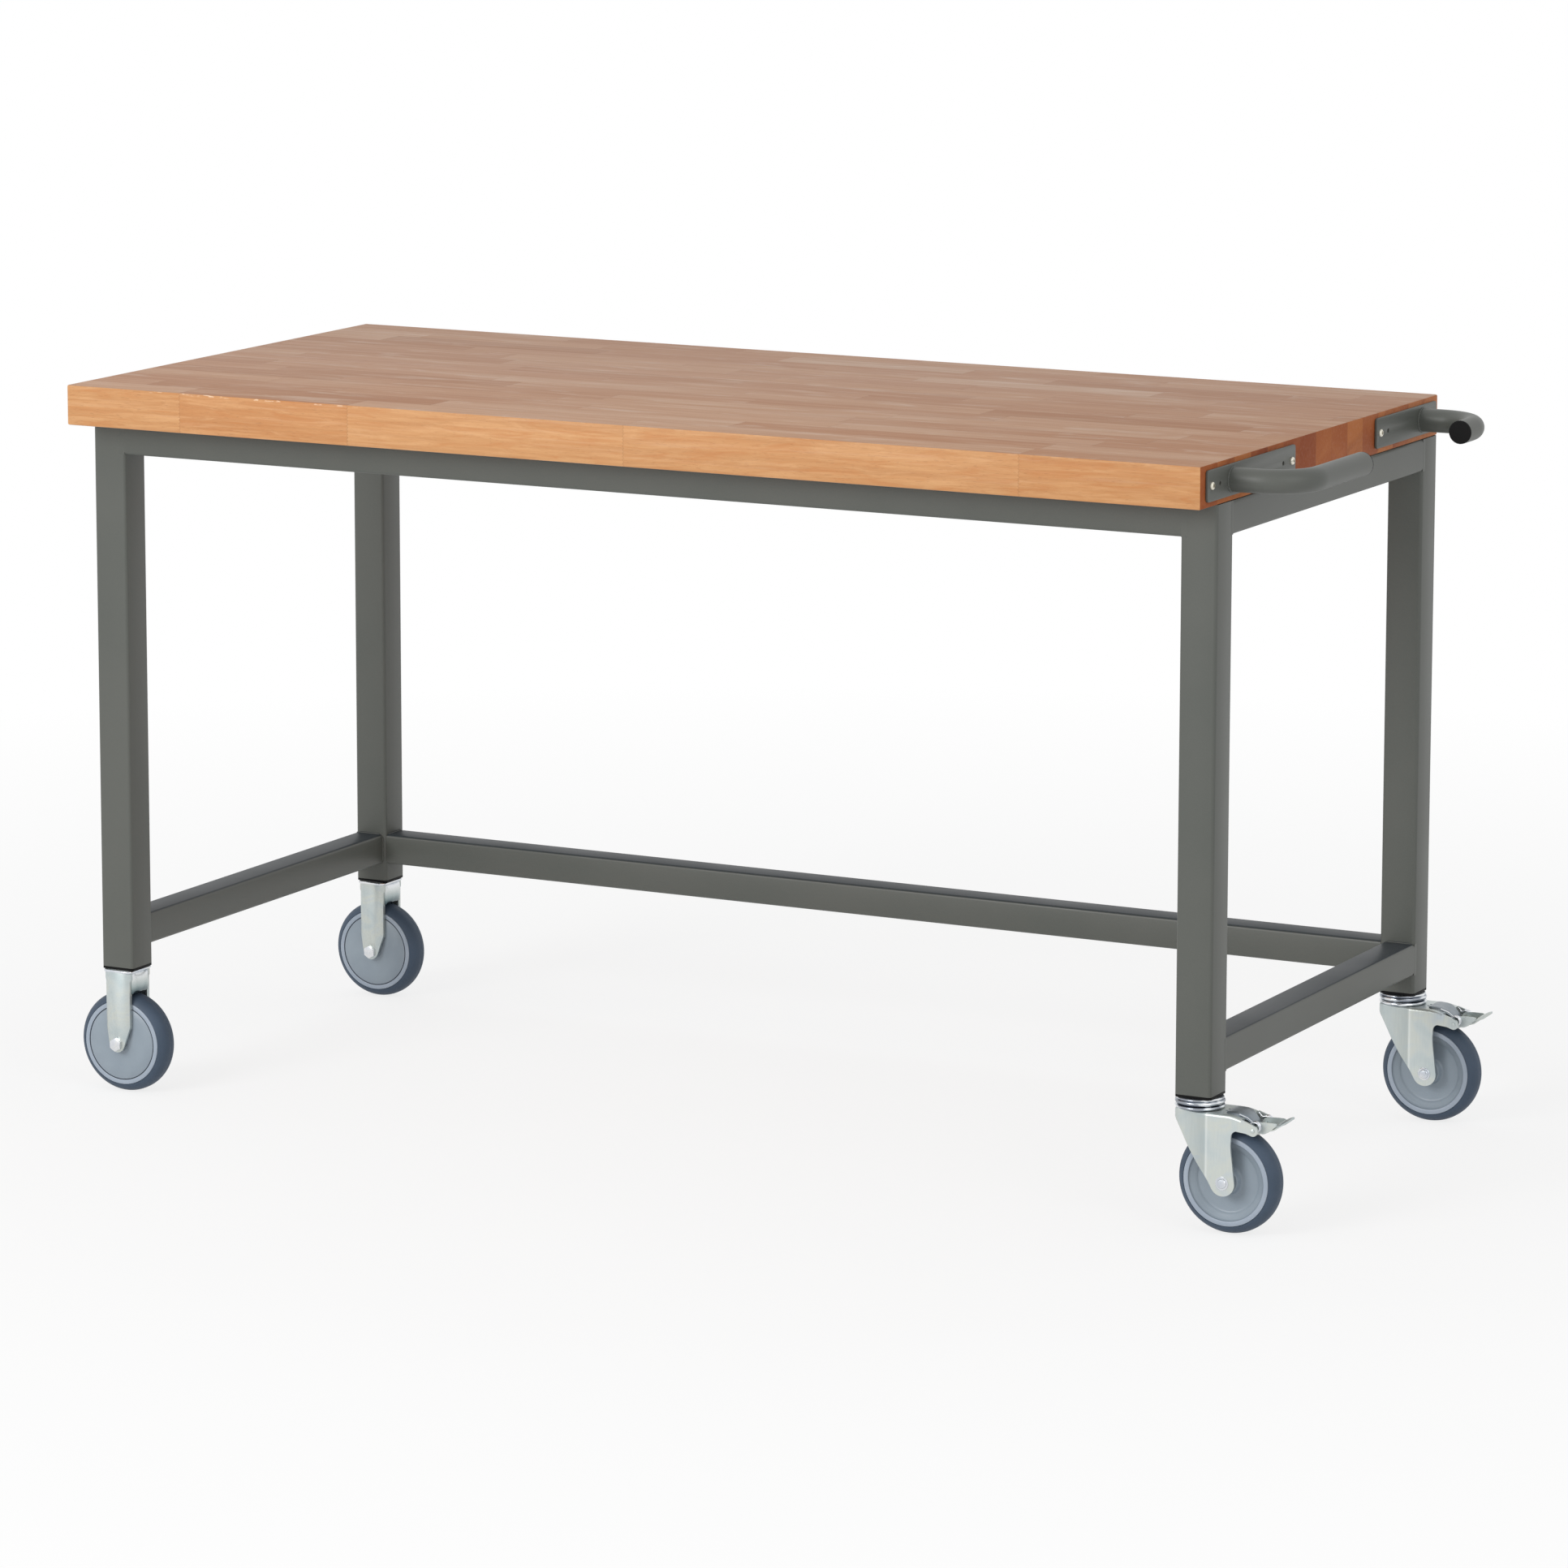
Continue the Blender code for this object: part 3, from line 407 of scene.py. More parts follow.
PAINT = paint()
BEECH = beech()
ZINC = plated("zinc", ZINC_TINTS, 0.36, 0.72)
BRIGHT = plated("bright_zinc", BRIGHT_TINTS, 0.20, 0.95)
SCREW = plated("screw_zinc", SCREW_TINTS, 0.30, 0.85)
DARK_ZINC = plated("dark_zinc", DARK_TINTS, 0.34, 0.80)
# Race rings: painted reflection bands by height with a painted dark groove, and painted dark and white
# reflection patches.
RING = reflection_banded_plate("ring_plate", 0.1424, 0.1560, stops(
    (0.00, *REFLECTED_DARK), (0.10, *REFLECTED_MID), (0.21, *REFLECTED_LIGHT), (0.30, *REFLECTED_MID), (0.36, 92, 100, 112), (0.42, *REFLECTED_DARK),
    (0.52, *REFLECTED_MID), (0.64, *REFLECTED_LIGHT), (0.74, *REFLECTED_MID), (0.82, *REFLECTED_DARK), (0.90, *REFLECTED_LIGHT), (1.00, *REFLECTED_MID),
), 0.0010, 0.62)
# Pressed dome: painted shade and reflection, dark at the bottom where it faces the dark wheel, light towards
# the top.
DOME = reflection_banded_plate("dome_plate", 0.1255, 0.1550, stops(
    (0.00, 70, 84, 90), (0.14, 104, 120, 124), (0.34, 168, 180, 180), (0.62, 214, 219, 218),
    (0.82, *REFLECTED_LIGHT), (0.92, *REFLECTED_MID), (1.00, *REFLECTED_DARK),
), 0.0060)
FORK = fork_plate()
BLACK = plastic("black_plastic", (4, 4, 4), (8, 8, 9), 0.52, 700.0, 0.0002, 0.16)
TREAD = plastic("tread_rubber", (54, 69, 86), (62, 78, 97), 0.58, 520.0, 0.0003)

LOOKS = (
    (BEECH, ("worktop",)),
    (PAINT, ("leg_", "top_rail", "low_rail", "handle_plate", "handle_tube")),
    (BLACK, ("insert_", "handle_plug")),
    (TREAD, ("_tread",)),
    (DARK_ZINC, ("_brake_leaf",)),
    (BRIGHT, ("_race_top", "_race_low", "_stem", "_bolt", "_nut", "_bush")),
    (FORK, ("_fork",)),
    (ZINC, ("_bracket", "_pedal")),
)
for name, thing in NODES.items():
    for material, marks in LOOKS:
        if name.startswith(marks) or name.endswith(marks):
            for one in thing.material_slots:
                one.material = material


# Floor, light and camera
def added(name, data):
    """A new object in the scene."""
    thing = bpy.data.objects.new(name, data)
    SCENE.collection.objects.link(thing)
    return thing


def lay_floor(half, z):
    """A pale floor that keeps the bench's shadow and fades to white round it."""
    mesh = bpy.data.meshes.new("floor")
    corners = [(-half, -half, z), (half, -half, z), (half, half, z), (-half, half, z)]
    mesh.from_pydata(corners, [], [(0, 1, 2, 3)])
    added("floor", mesh)
    t = Surface("floor")
    dust = t.mix(t.noise(t.at, 3.0, 3.0), linear(241, 241, 241), linear(246, 246, 246))
    t.set(Base_Color=dust, Roughness=0.9, Specular_IOR_Level=0.0)
    x, y, _ = t.split(t.at)
    fade = t.times(t.seen(), t.span(t.far(x, y), 1.0, 3.0, 0.78, 1.0))
    glow = t.node("ShaderNodeEmission", WHITE, 1.0)
    blend = t.node("ShaderNodeMixShader", fade, t.shader.outputs[0], glow.outputs[0])
    t.put(t.out.inputs[0], blend.outputs[0])
    mesh.materials.append(t.material)


def hang_sky():
    """Soft light from all round, seen as plain white."""
    world = bpy.data.worlds.new("studio")
    SCENE.world = world
    world.use_nodes = True
    sky = Graph(world.node_tree)
    soft = sky.node("ShaderNodeBackground", WHITE, 0.62).outputs[0]
    white = sky.node("ShaderNodeBackground", WHITE, 1.0).outputs[0]
    choice = sky.node("ShaderNodeMixShader", sky.seen(), soft, white)
    sky.node("ShaderNodeOutputWorld", choice.outputs[0])


def lamp(name, place, size, watts):
    """A round soft lamp that faces the middle of the bench."""
    light = bpy.data.lights.new(name, "AREA")
    light.shape = "DISK"
    light.size = size
    light.energy = watts
    thing = added(name, light)
    thing.location = place
    thing.rotation_euler = (Vector((0, 0, 0.45)) - Vector(place)).to_track_quat("-Z", "Y").to_euler()


lay_floor(80.0, -0.0006)
hang_sky()
lamp("key", (-1.9, -5.8, 3.0), 3.2, 182)
lamp("fill", (4.6, -2.4, 3.0), 3.0, 31)

camera = added("camera", bpy.data.cameras.new("camera"))
camera.location = (3.6653, -7.0164, 1.9235)
camera.rotation_euler = (1.4049, -0.0013, 0.4802)
camera.data.lens = 152.10
camera.data.shift_y = -0.1
camera.data.clip_end = 300.0
SCENE.camera = camera
SCENE.view_settings.view_transform = "Standard"


# Rounded edges
def mesh_graph(name):
    """A node group for a modifier, and the mesh that comes in."""
    group = bpy.data.node_groups.new(name, "GeometryNodeTree")
    for way in ("INPUT", "OUTPUT"):
        group.interface.new_socket("Geometry", in_out=way, socket_type="NodeSocketGeometry")
    graph = Graph(group)
    return graph, graph.node("NodeGroupInput").outputs[0]


def joined_group():
    """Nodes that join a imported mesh's loose triangles and drop their stored normals."""
    graph, last = mesh_graph("joined")
    merge = graph.node("GeometryNodeMergeByDistance", last)
    merge.inputs["Distance"].default_value = 0.00001
    last = merge.outputs[0]
    for attribute in ("custom_normal", "sharp_edge", "sharp_face"):
        drop = graph.node("GeometryNodeRemoveAttribute", last)
        drop.inputs["Name"].default_value = attribute
        last = drop.outputs[0]
    graph.node("NodeGroupOutput", last)
    return graph.tree


def shaded_group():
    """Nodes that shade a mesh smooth, except across its sharp edges."""
    graph, mesh = mesh_graph("shaded")
    angle = graph.node("GeometryNodeInputMeshEdgeAngle").outputs[0]
    sharp = graph.math("GREATER_THAN", angle, math.radians(34))
    faces = graph.node("GeometryNodeSetShadeSmooth", mesh)
    edges = graph.node("GeometryNodeSetShadeSmooth", faces.outputs[0], sharp, domain="EDGE")
    edges.inputs["Shade Smooth"].default_value = False
    graph.node("NodeGroupOutput", edges.outputs[0])
    return graph.tree


JOINED = joined_group()
SHADED = shaded_group()


def soften(thing, width=0.0, segments=2, sharpest=34):
    """Round a mesh's sharp edges as pressing or coating leaves them, and shade it."""
    if width:
        bevel = thing.modifiers.new("rounded", "BEVEL")
        bevel.width = width
        bevel.segments = segments
        bevel.limit_method = "ANGLE"
        bevel.angle_limit = math.radians(sharpest)
    thing.modifiers.new("shaded", "NODES").node_group = SHADED


for name, thing in NODES.items():
    if name.endswith("_bracket"):
        width, segments = 0.0005, 2
    elif name.startswith("handle_plate"):
        width, segments = 0.0009, 3
    elif name.startswith(("leg_", "top_rail", "low_rail", "insert_", "handle_plug", "worktop")):
        width, segments = 0.0, 0
    else:
        continue
    thing.modifiers.new("joined", "NODES").node_group = JOINED
    soften(thing, width, segments)


# Shapes in mesh code
def piece(name, shape, material, body, slot, smooth, instead=None):
    """A finished shape as an object that rides on a body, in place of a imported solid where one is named."""
    mesh = bpy.data.meshes.new(name)
    bmesh.ops.recalc_face_normals(shape, faces=shape.faces)
    shape.to_mesh(mesh)
    shape.free()
    mesh.materials.append(material)
    mesh.polygons.foreach_set("use_smooth", [True] * len(mesh.polygons))
    mesh.set_sharp_from_angle(angle=math.radians(smooth))
    thing = added(name, mesh)
    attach(thing, body)
    if instead:
        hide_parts(instead)
    return thing


def spread(steps):
    """Even places from -1 to 1."""
    return [-1 + 2 * i / steps for i in range(steps + 1)]


def arc(centre, wide, high, start, stop, steps):
    """Points along part of an ellipse, angles in degrees."""
    out = []
    for i in range(steps + 1):
        a = math.radians(start + (stop - start) * i / steps)
        out.append((centre[0] + wide * math.cos(a), centre[1] + high * math.sin(a)))
    return out


def filleted(points, reach, steps=6, closed=False):
    """The line of points with each corner drawn as a curve that begins and ends a reach away."""
    out = []
    count = len(points)
    for i, point in enumerate(points):
        if not closed and i in (0, count - 1):
            out.append(Vector(point))
            continue
        here, before, after = Vector(point), Vector(points[i - 1]), Vector(points[(i + 1) % count])
        back, ahead = before - here, after - here
        start = here + back.normalized() * min(reach, back.length * 0.45)
        stop = here + ahead.normalized() * min(reach, ahead.length * 0.45)
        for k in range(steps + 1):
            u = k / steps
            out.append(start * (1 - u) ** 2 + here * 2 * u * (1 - u) + stop * u ** 2)
    return out


def read_off(line, x, column=1):
    """The value of a line of points at a place along its first column."""
    for low, high in zip(line, line[1:]):
        if x <= high[0]:
            part = (x - low[0]) / max(high[0] - low[0], 1e-9)
            return low[column] + (high[column] - low[column]) * min(1.0, max(0.0, part))
    return line[-1][column]


def eased(rows, u):
    """A value read off a list of (place, value), eased between them."""
    for (a, low), (b, high) in zip(rows, rows[1:]):
        if u <= b:
            s = (u - a) / (b - a)
            return low + (high - low) * s * s * (3 - 2 * s)
    return rows[-1][1]


def moved(shape, place, turn=None):
    """The shape turned, then put in place."""
    matrix = Matrix.Translation(Vector(place)) @ (turn if turn else Matrix.Identity(4))
    bmesh.ops.transform(shape, matrix=matrix, verts=shape.verts)
    return shape


def merged(*shapes):
    """Several shapes as one."""
    whole = shapes[0]
    for other in shapes[1:]:
        mesh = bpy.data.meshes.new("part")
        other.to_mesh(mesh)
        other.free()
        whole.from_mesh(mesh)
        bpy.data.meshes.remove(mesh)
    return whole


def bridge(shape, rings, closed):
    """Faces between each ring and the next, where a ring of one point makes a tip."""
    for lower, upper in zip(rings, rings[1:] + rings[:1] if closed else rings[1:]):
        steps = max(len(lower), len(upper))
        for i in range(steps):
            low_a, low_b = lower[i % len(lower)], lower[(i + 1) % len(lower)]
            up_a, up_b = upper[i % len(upper)], upper[(i + 1) % len(upper)]
            corners = list(dict.fromkeys((low_a, low_b, up_b, up_a)))
            if len(corners) > 2:
                shape.faces.new(corners)


def circle(steps):
    """Even angles round a circle."""
    return [2 * math.pi * i / steps for i in range(steps)]


def turned(profile, steps, loop=False):
    """A profile of (radius, height) turned round Z, closed on the axis or, as a loop, on itself."""
    shape = bmesh.new()
    rings = []
    for radius, height in profile:
        angles = circle(steps if radius else 1)
        rings.append([shape.verts.new((radius * math.cos(a), radius * math.sin(a), height)) for a in angles])
    bridge(shape, rings, loop)
    return shape


def tube(points, radii, sides, closed=False):
    """A round wire through the points, with one radius or one for each."""
    shape = bmesh.new()
    rings = []
    count = len(points)
    normal = None
    for i, point in enumerate(points):
        before = points[i - 1] if closed or i else points[i]
        after = points[(i + 1) % count] if closed or i + 1 < count else points[i]
        along = (Vector(after) - Vector(before)).normalized()
        if normal is None:
            normal = along.orthogonal().normalized()
        normal = (normal - along * normal.dot(along)).normalized()
        other = along.cross(normal)
        radius = radii if isinstance(radii, float) else radii[i]
        offsets = [(normal * math.cos(a) + other * math.sin(a)) * radius for a in circle(sides)]
        rings.append([shape.verts.new(Vector(point) + offset) for offset in offsets])
    bridge(shape, rings, closed)
    if not closed:
        shape.faces.new(rings[0][::-1])
        shape.faces.new(rings[-1])
    return shape


def hexagonal(radius, height, bore=0.0):
    """A bolt head or nut with its corners chamfered to a round face, standing on Z = 0."""
    flat = radius * math.cos(math.radians(30))
    shape = bmesh.new()
    rings = [[] for _ in range(5 if bore else 3)]
    for a in circle(48):
        out = flat / math.cos((a + math.pi / 6) % (math.pi / 3) - math.pi / 6)
        shoulder = height - (out - flat) * 0.6 - 0.0002
        places = ((out, 0.0), (out, shoulder), (flat * 0.93, height), (bore, height), (bore, 0.0))
        for ring, (radial, level) in zip(rings, places):
            ring.append(shape.verts.new((radial * math.cos(a), radial * math.sin(a), level)))
    if not bore:
        rings.append([shape.verts.new((0, 0, height))])
        shape.faces.new(rings[0][::-1])
    bridge(shape, rings, bool(bore))
    return shape


def skin(outer, inner):
    """A closed shape between two grids of points."""
    shape = bmesh.new()
    top = [[shape.verts.new(p) for p in line] for line in outer]
    low = [[shape.verts.new(p) for p in line] for line in inner]
    last, end = len(top) - 1, len(top[0]) - 1
    for i in range(last):
        for k in range(end):
            shape.faces.new([top[i][k], top[i + 1][k], top[i + 1][k + 1], top[i][k + 1]])
            shape.faces.new([low[i][k], low[i][k + 1], low[i + 1][k + 1], low[i + 1][k]])
        shape.faces.new([top[i][0], low[i][0], low[i + 1][0], top[i + 1][0]])
        shape.faces.new([top[i][end], top[i + 1][end], low[i + 1][end], low[i][end]])
    for k in range(end):
        shape.faces.new([top[0][k], top[0][k + 1], low[0][k + 1], low[0][k]])
        shape.faces.new([top[last][k], low[last][k], low[last][k + 1], top[last][k + 1]])
    return shape


def sheet(points, thickness):
    """A grid of points given a thickness square to it, as a closed shape."""
    last, end = len(points) - 1, len(points[0]) - 1
    inner = []
    for i, line in enumerate(points):
        inner.append([])
        for k, point in enumerate(line):
            du = Vector(points[min(i + 1, last)][k]) - Vector(points[max(i - 1, 0)][k])
            dv = Vector(line[min(k + 1, end)]) - Vector(line[max(k - 1, 0)])
            inner[-1].append(Vector(point) - du.cross(dv).normalized() * thickness)
    return skin(points, inner)


def pushed_out(shape):
    """Extrude the shape's one face in place, and give the new points."""
    made = bmesh.ops.extrude_face_region(shape, geom=shape.faces[:])
    return [v for v in made["geom"] if isinstance(v, bmesh.types.BMVert)]


# Wheels: half sections of (radius, distance from the middle plane)
TYRE = [(0.0622, 0.0), (0.0625, 0.0004), *arc((0.0465, 0.0015), 0.016, 0.016, 0, 65.2, 16)]
TYRE += [(0.0529, 0.0162), (0.0527, 0.0158), (0.0527, 0.0)]
RIM = (
    (0.0524, 0.0), (0.0524, 0.0157), (0.0522, 0.0162),
    (0.0517, 0.0165), (0.0475, 0.0165), (0.0468, 0.0163),
)
COVER = (
    (0.0465, 0.0158), (0.0464, 0.0150), (0.0458, 0.0150), (0.0457, 0.0160), (0.0452, 0.0164),
    (0.0300, 0.0167), (0.0130, 0.0168), (0.0124, 0.0171), (0.0118, 0.0175), (0.0080, 0.0175),
)
WEB = (
    (0.0463, 0.0157), (0.0460, 0.0146), (0.0440, 0.0132), (0.0400, 0.0106), (0.0387, 0.0099),
    (0.0378, 0.0090), (0.0370, 0.0084), (0.0355, 0.0081), (0.0280, 0.0079), (0.0190, 0.0080),
    (0.0170, 0.0084), (0.0160, 0.0095), (0.0152, 0.0130), (0.0146, 0.0150), (0.0140, 0.0158),
    (0.0132, 0.0160), (0.0080, 0.0160),
)


def build_wheel(row, kind, x, y):
    """A smooth tread with a moulding line, on a rim that carries a web or a cover on each face."""
    prefix = f"{kind}_{row}"
    face = COVER if kind == "fixed" else WEB
    hub = [*RIM, *face, (0.0074, face[-1][1] - 0.0006), (0.0074, 0.0)]
    core = wheel_plastic(f"core_{kind}_{row}", x, kind == "fixed")
    parts = (("tyre", TYRE, TREAD, "tread_rubber", "tread"), ("rim", hub, core, "core_plastic", "core"))
    for name, upper, material, slot, node in parts:
        lower = [(radius, -height) for radius, height in upper[::-1] if height > 1e-9]
        shape = moved(turned(upper + lower, 120, loop=True), (x, y, WHEEL_Z), TO_FRONT)
        piece(f"{prefix}_{name}", shape, material, f"{kind}_wheel_{row}", slot, 50, f"{prefix}_{node}")


HEAD_SIDE, NUT_SIDE = 0.0265, 0.0268
HEX, SHANK, SHANK_LENGTH = 0.0084, 0.0040, 0.0603
THREAD_START, THREAD_DEPTH, PITCH, TURNS = 0.0495, 0.0003, 0.0007, 15
BUTTON = ((0.0, 0.0032), (0.0030, 0.0031), (0.0048, 0.0027), (0.0055, 0.0020), (0.0058, 0.0012), (0.0, 0.0))
WASHER = ((0.0050, 0.0010), (0.0074, 0.0010), (0.0078, 0.0007), (0.0079, 0.0), (0.0050, 0.0))


def build_axle(row, kind, x, y, body):
    """The bolt through the castor with its head, and the nut on its threaded end."""
    prefix = f"{kind}_{row}"
    near = (x, y - HEAD_SIDE, WHEEL_Z)
    if kind == "fixed":
        head = hexagonal(HEX, 0.0052)
    else:
        head = turned(BUTTON, 40)
        washer = moved(turned(WASHER, 40, loop=True), near, TO_FRONT)
        piece(f"{prefix}_washer", washer, BRIGHT, body, "bright_zinc", 30)
    shank = [(0.0, 0.0), (SHANK, 0.0)]
    for i in range(TURNS):
        level = THREAD_START + i * PITCH
        shank += [(SHANK, level), (SHANK - THREAD_DEPTH, level + PITCH / 2)]
    shank += [(SHANK - 2 * THREAD_DEPTH, SHANK_LENGTH), (0.0, SHANK_LENGTH)]
    bolt = merged(moved(head, near, TO_FRONT), moved(turned(shank, 28), near, TO_BACK))
    piece(f"{prefix}_axle", bolt, BRIGHT, body, "bright_zinc", 30, f"{prefix}_bolt")
    nut = moved(hexagonal(HEX, 0.0049, 0.0042), (x, y + NUT_SIDE, WHEEL_Z), TO_BACK)
    piece(f"{prefix}_locknut", nut, BRIGHT, body, "bright_zinc", 30, f"{prefix}_nut")


# Race rings of the swivel castors
def build_races(row, y):
    """Two pressed rings with grooves between them, painted dark as shade by their material, the upper one
    stepped up to the leg.
    """
    upper = [(0.0064, 0.1559), (0.0224, 0.1559), *arc((0.0256, 0.1543), 0.0022, 0.0016, 96, -22, 8)]
    upper += [(0.0277, 0.1533), *arc((0.0254, 0.1505), 0.0035, 0.0029, 56, -74, 14)]
    upper += [(0.0258, 0.1476), (0.0064, 0.1474)]
    lower = [(0.0064, 0.1471), (0.0264, 0.1471), (0.0271, 0.1469)]
    lower += arc((0.0270, 0.1449), 0.0018, 0.0019, 80, -70, 8)
    lower += [(0.0271, 0.1428), (0.0262, 0.1426), (0.0064, 0.1426)]
    swivel = f"swivel_{row}"
    for name, profile, body, node in (("upper", upper, "bench", "top"), ("lower", lower, swivel, "low")):
        ring = moved(turned(profile[::-1], 96, loop=True), (STEM_X, y, 0))
        piece(f"{swivel}_{name}_ring", ring, RING, body, "bright_zinc", 46, f"{swivel}_race_{node}")


# Fork of the swivel castors, drawn as a bent sheet round the stem
FORK_TOP = 0.1423
SHEET = 0.0025
BEND = 0.0032
TRAIL = AXLE_X - STEM_X
FORK_PLAN = ((-0.0270, 0.0), (-0.0270, 0.0105), (-0.0215, 0.0150), (FORK_FOLD, 0.0265), (0.0900, 0.0265))
FORK_LINE = ((-0.0300, 0.0), (0.0480, 0.0), (0.0570, -0.0018), (0.0680, -0.0051), (0.0790, -0.0090))
PLATE_END = 0.0620


def stations_along(plan, most):
    """Points along a plan line no further apart than asked, each as (run, x, y, outward x, outward y)."""
    dense = [plan[0]]
    for point in plan[1:]:
        step = point - dense[-1]
        parts = max(1, math.ceil(step.length / most))
        dense += [point - step * (1 - k / parts) for k in range(1, parts + 1)]
    out = []
    run = 0.0
    for i, point in enumerate(dense):
        run += (point - dense[i - 1]).length if i else 0.0
        along = (dense[min(i + 1, len(dense) - 1)] - dense[max(i - 1, 0)]).normalized()
        out.append((run, point.x, point.y, -along.y, along.x))
    out[0] = (0.0, out[0][1], out[0][2], -1.0, 0.0)
    return out


def fork_outline(run_at):
    """The cheek's edge in (run, height): the bent top edge, brake lug, arch, axle end and slanting front."""
    line = filleted(FORK_LINE, 0.0040)
    end_level = FORK_TOP + read_off(line, PLATE_END)
    top = [(x / 1000, FORK_TOP + read_off(line, x / 1000)) for x in range(-26, 63, 2)]
    edge = [(0.0, FORK_TOP - BEND)] + [(run_at(x), z - BEND) for x, z in top if x < PLATE_END]
    edge += [(run_at(PLATE_END), end_level - BEND)]
    lug = (PIVOT_X - STEM_X, PIVOT_Z)
    back = [(PLATE_END, end_level), (0.0680, FORK_TOP - 0.0051)]
    back += arc(lug, 0.0062, 0.0062, 60, -108, 18)
    back += [(lug[0] - 0.0085, FORK_TOP - 0.0186)]
    back += arc((0.0572, FORK_TOP - 0.0245), 0.0072, 0.0072, 100, 170, 10)
    under = [(0.0500, FORK_TOP - 0.0253), (0.0492, FORK_TOP - 0.0363), (0.0545, WHEEL_Z + 0.0005)]
    back += filleted(under, 0.0100)
    back += arc((TRAIL, WHEEL_Z), 0.0150, 0.0150, -4, -150, 22)
    front = [(0.0266, WHEEL_Z - 0.0075), (0.0200, WHEEL_Z + 0.0045), (0.0080, WHEEL_Z + 0.0175)]
    front += [(-0.0060, FORK_TOP - 0.0433), (-0.0170, FORK_TOP - 0.0243), (-0.0270, FORK_TOP - 0.0088)]
    back += filleted(front, 0.0100)[1:]
    edge += [(run_at(x), z) for x, z in back]
    return edge + [(0.0, FORK_TOP - 0.0088)]


def fork_cheek(stations, run_at):
    """One side of the fork: its flat outline cut at each station, thickened, and laid along the plan."""
    shape = bmesh.new()
    edge = []
    for point in fork_outline(run_at):
        if not edge or (Vector(point) - Vector(edge[-1])).length > 0.00012:
            edge.append(point)
    shape.faces.new([shape.verts.new((run, 0, z)) for run, z in edge])
    for station in stations[1:-1]:
        everything = shape.verts[:] + shape.edges[:] + shape.faces[:]
        place = (station[0], 0, 0)
        bmesh.ops.bisect_plane(shape, geom=everything, dist=1e-7, plane_co=place, plane_no=X)
    for v in pushed_out(shape):
        v.co.y = 1.0
    for v in shape.verts:
        x, out, nx, ny = (read_off(stations, v.co.x, c) for c in (1, 2, 3, 4))
        depth = SHEET * v.co.y
        v.co = Vector((x - nx * depth, out - ny * depth, v.co.z))
    return shape


def fork_cap(stations, run_at):
    """The fork's top plate with the bend down each side, from nose to plate end."""
    line = filleted(FORK_LINE, 0.0040)
    outer, inner = [], []
    capped = [station for station in stations if station[1] < PLATE_END - 0.0002]
    for _, x, out, nx, ny in capped + [(run_at(PLATE_END), PLATE_END, FORK_PLAN[-1][1], 0.0, 1.0)]:
        way = Vector((nx, ny, 0))
        root = Vector((x, out, 0)) - way * BEND
        places = []
        for k in range(9):
            a = math.radians(90 * k / 8)
            turn = way * math.cos(a) + Z * math.sin(a)
            places.append((root + turn * BEND, turn))
        places += [(Vector((root.x, root.y * k, BEND)), Z) for k in (0.75, 0.5, 0.25, 0.0)]
        places += [(Vector((p.x, -p.y, p.z)), Vector((n.x, -n.y, n.z))) for p, n in places[-2::-1]]
        level = FORK_TOP - BEND + read_off(line, x)
        outer.append([p + Z * level for p, _ in places])
        inner.append([o - n * SHEET for o, (_, n) in zip(outer[-1], places)])
    return skin(outer, inner)


def build_fork(row, y):
    """The fork as one sheet pressed over a plan that narrows to the nose, with bent upper edges."""
    stations = stations_along(filleted(FORK_PLAN, 0.0030), 0.0026)
    by_x = [(s[1], s[0]) for s in stations if s[0] > 0.0080]

    def run_at(x):
        return read_off(by_x, x)

    near = fork_cheek(stations, run_at)
    far = near.copy()
    for v in far.verts:
        v.co.y = -v.co.y
    whole = moved(merged(near, far, fork_cap(stations, run_at)), (STEM_X, y, 0))
    swivel = f"swivel_{row}"
    made = piece(f"{swivel}_pressed_fork", whole, FORK, swivel, "zinc", 34, f"{swivel}_fork")
    soften(made, 0.0004, 2, 50)


# Brake, drawn round the pedal's pivot except for the hood
HOOD = (
    (0.7352, 0.1432), (0.7362, 0.1436), (0.7400, 0.1438), (0.7440, 0.1438),
    (0.7480, 0.1435), (0.7515, 0.1428), (0.7550, 0.1416), (0.7582, 0.1400),
    (0.7612, 0.1380), (0.7638, 0.1356), (0.7658, 0.1330), (0.7670, 0.1302),
)
HOOD_WIDTH = ((0.0, 0.0152), (0.14, 0.0176), (0.50, 0.0166), (0.80, 0.0112), (1.0, 0.0104))
WING_LINE = (
    (-0.0038, -0.0036), (0.0080, -0.0040), (0.0140, -0.0010),
    (0.0240, 0.0076), (0.0330, 0.0132), (0.0388, 0.0152),
)
WING_WIDTH = ((0.0, 0.0130), (0.45, 0.0136), (0.66, 0.0148), (1.0, 0.0144))
WING_DROOP = ((0.0, 0.0), (0.42, 0.0), (0.64, 0.0036), (1.0, 0.0030))
CHEEK_LINE = (
    (-0.0044, -0.0046), (0.0085, -0.0054), (0.0150, -0.0022), (0.0246, 0.0068),
    (0.0236, 0.0088), (0.0120, 0.0088), (-0.0010, 0.0078), (-0.0046, 0.0046),
)
CHEEK_SIDES, CHEEK, WING, SHOE = (-0.0142, 0.0126), 0.0016, 0.0017, 0.0014
BARREL = (
    (0.0, -0.0120), (0.0030, -0.0120), (0.0033, -0.0116),
    (0.0033, 0.0116), (0.0030, 0.0120), (0.0, 0.0120),
)
PIN = (
    (0.0, -0.0280), (0.0016, -0.0279), (0.0024, -0.0274),
    (0.0024, 0.0274), (0.0016, 0.0279), (0.0, 0.0280),
)
DIMPLE = ((0.0, 0.00045), (0.0012, 0.00035), (0.0017, 0.0), (0.0, -0.0002))
COIL, WIRE = 0.0060, 0.00075
COIL_STEPS, COIL_ROUND = 100, 20


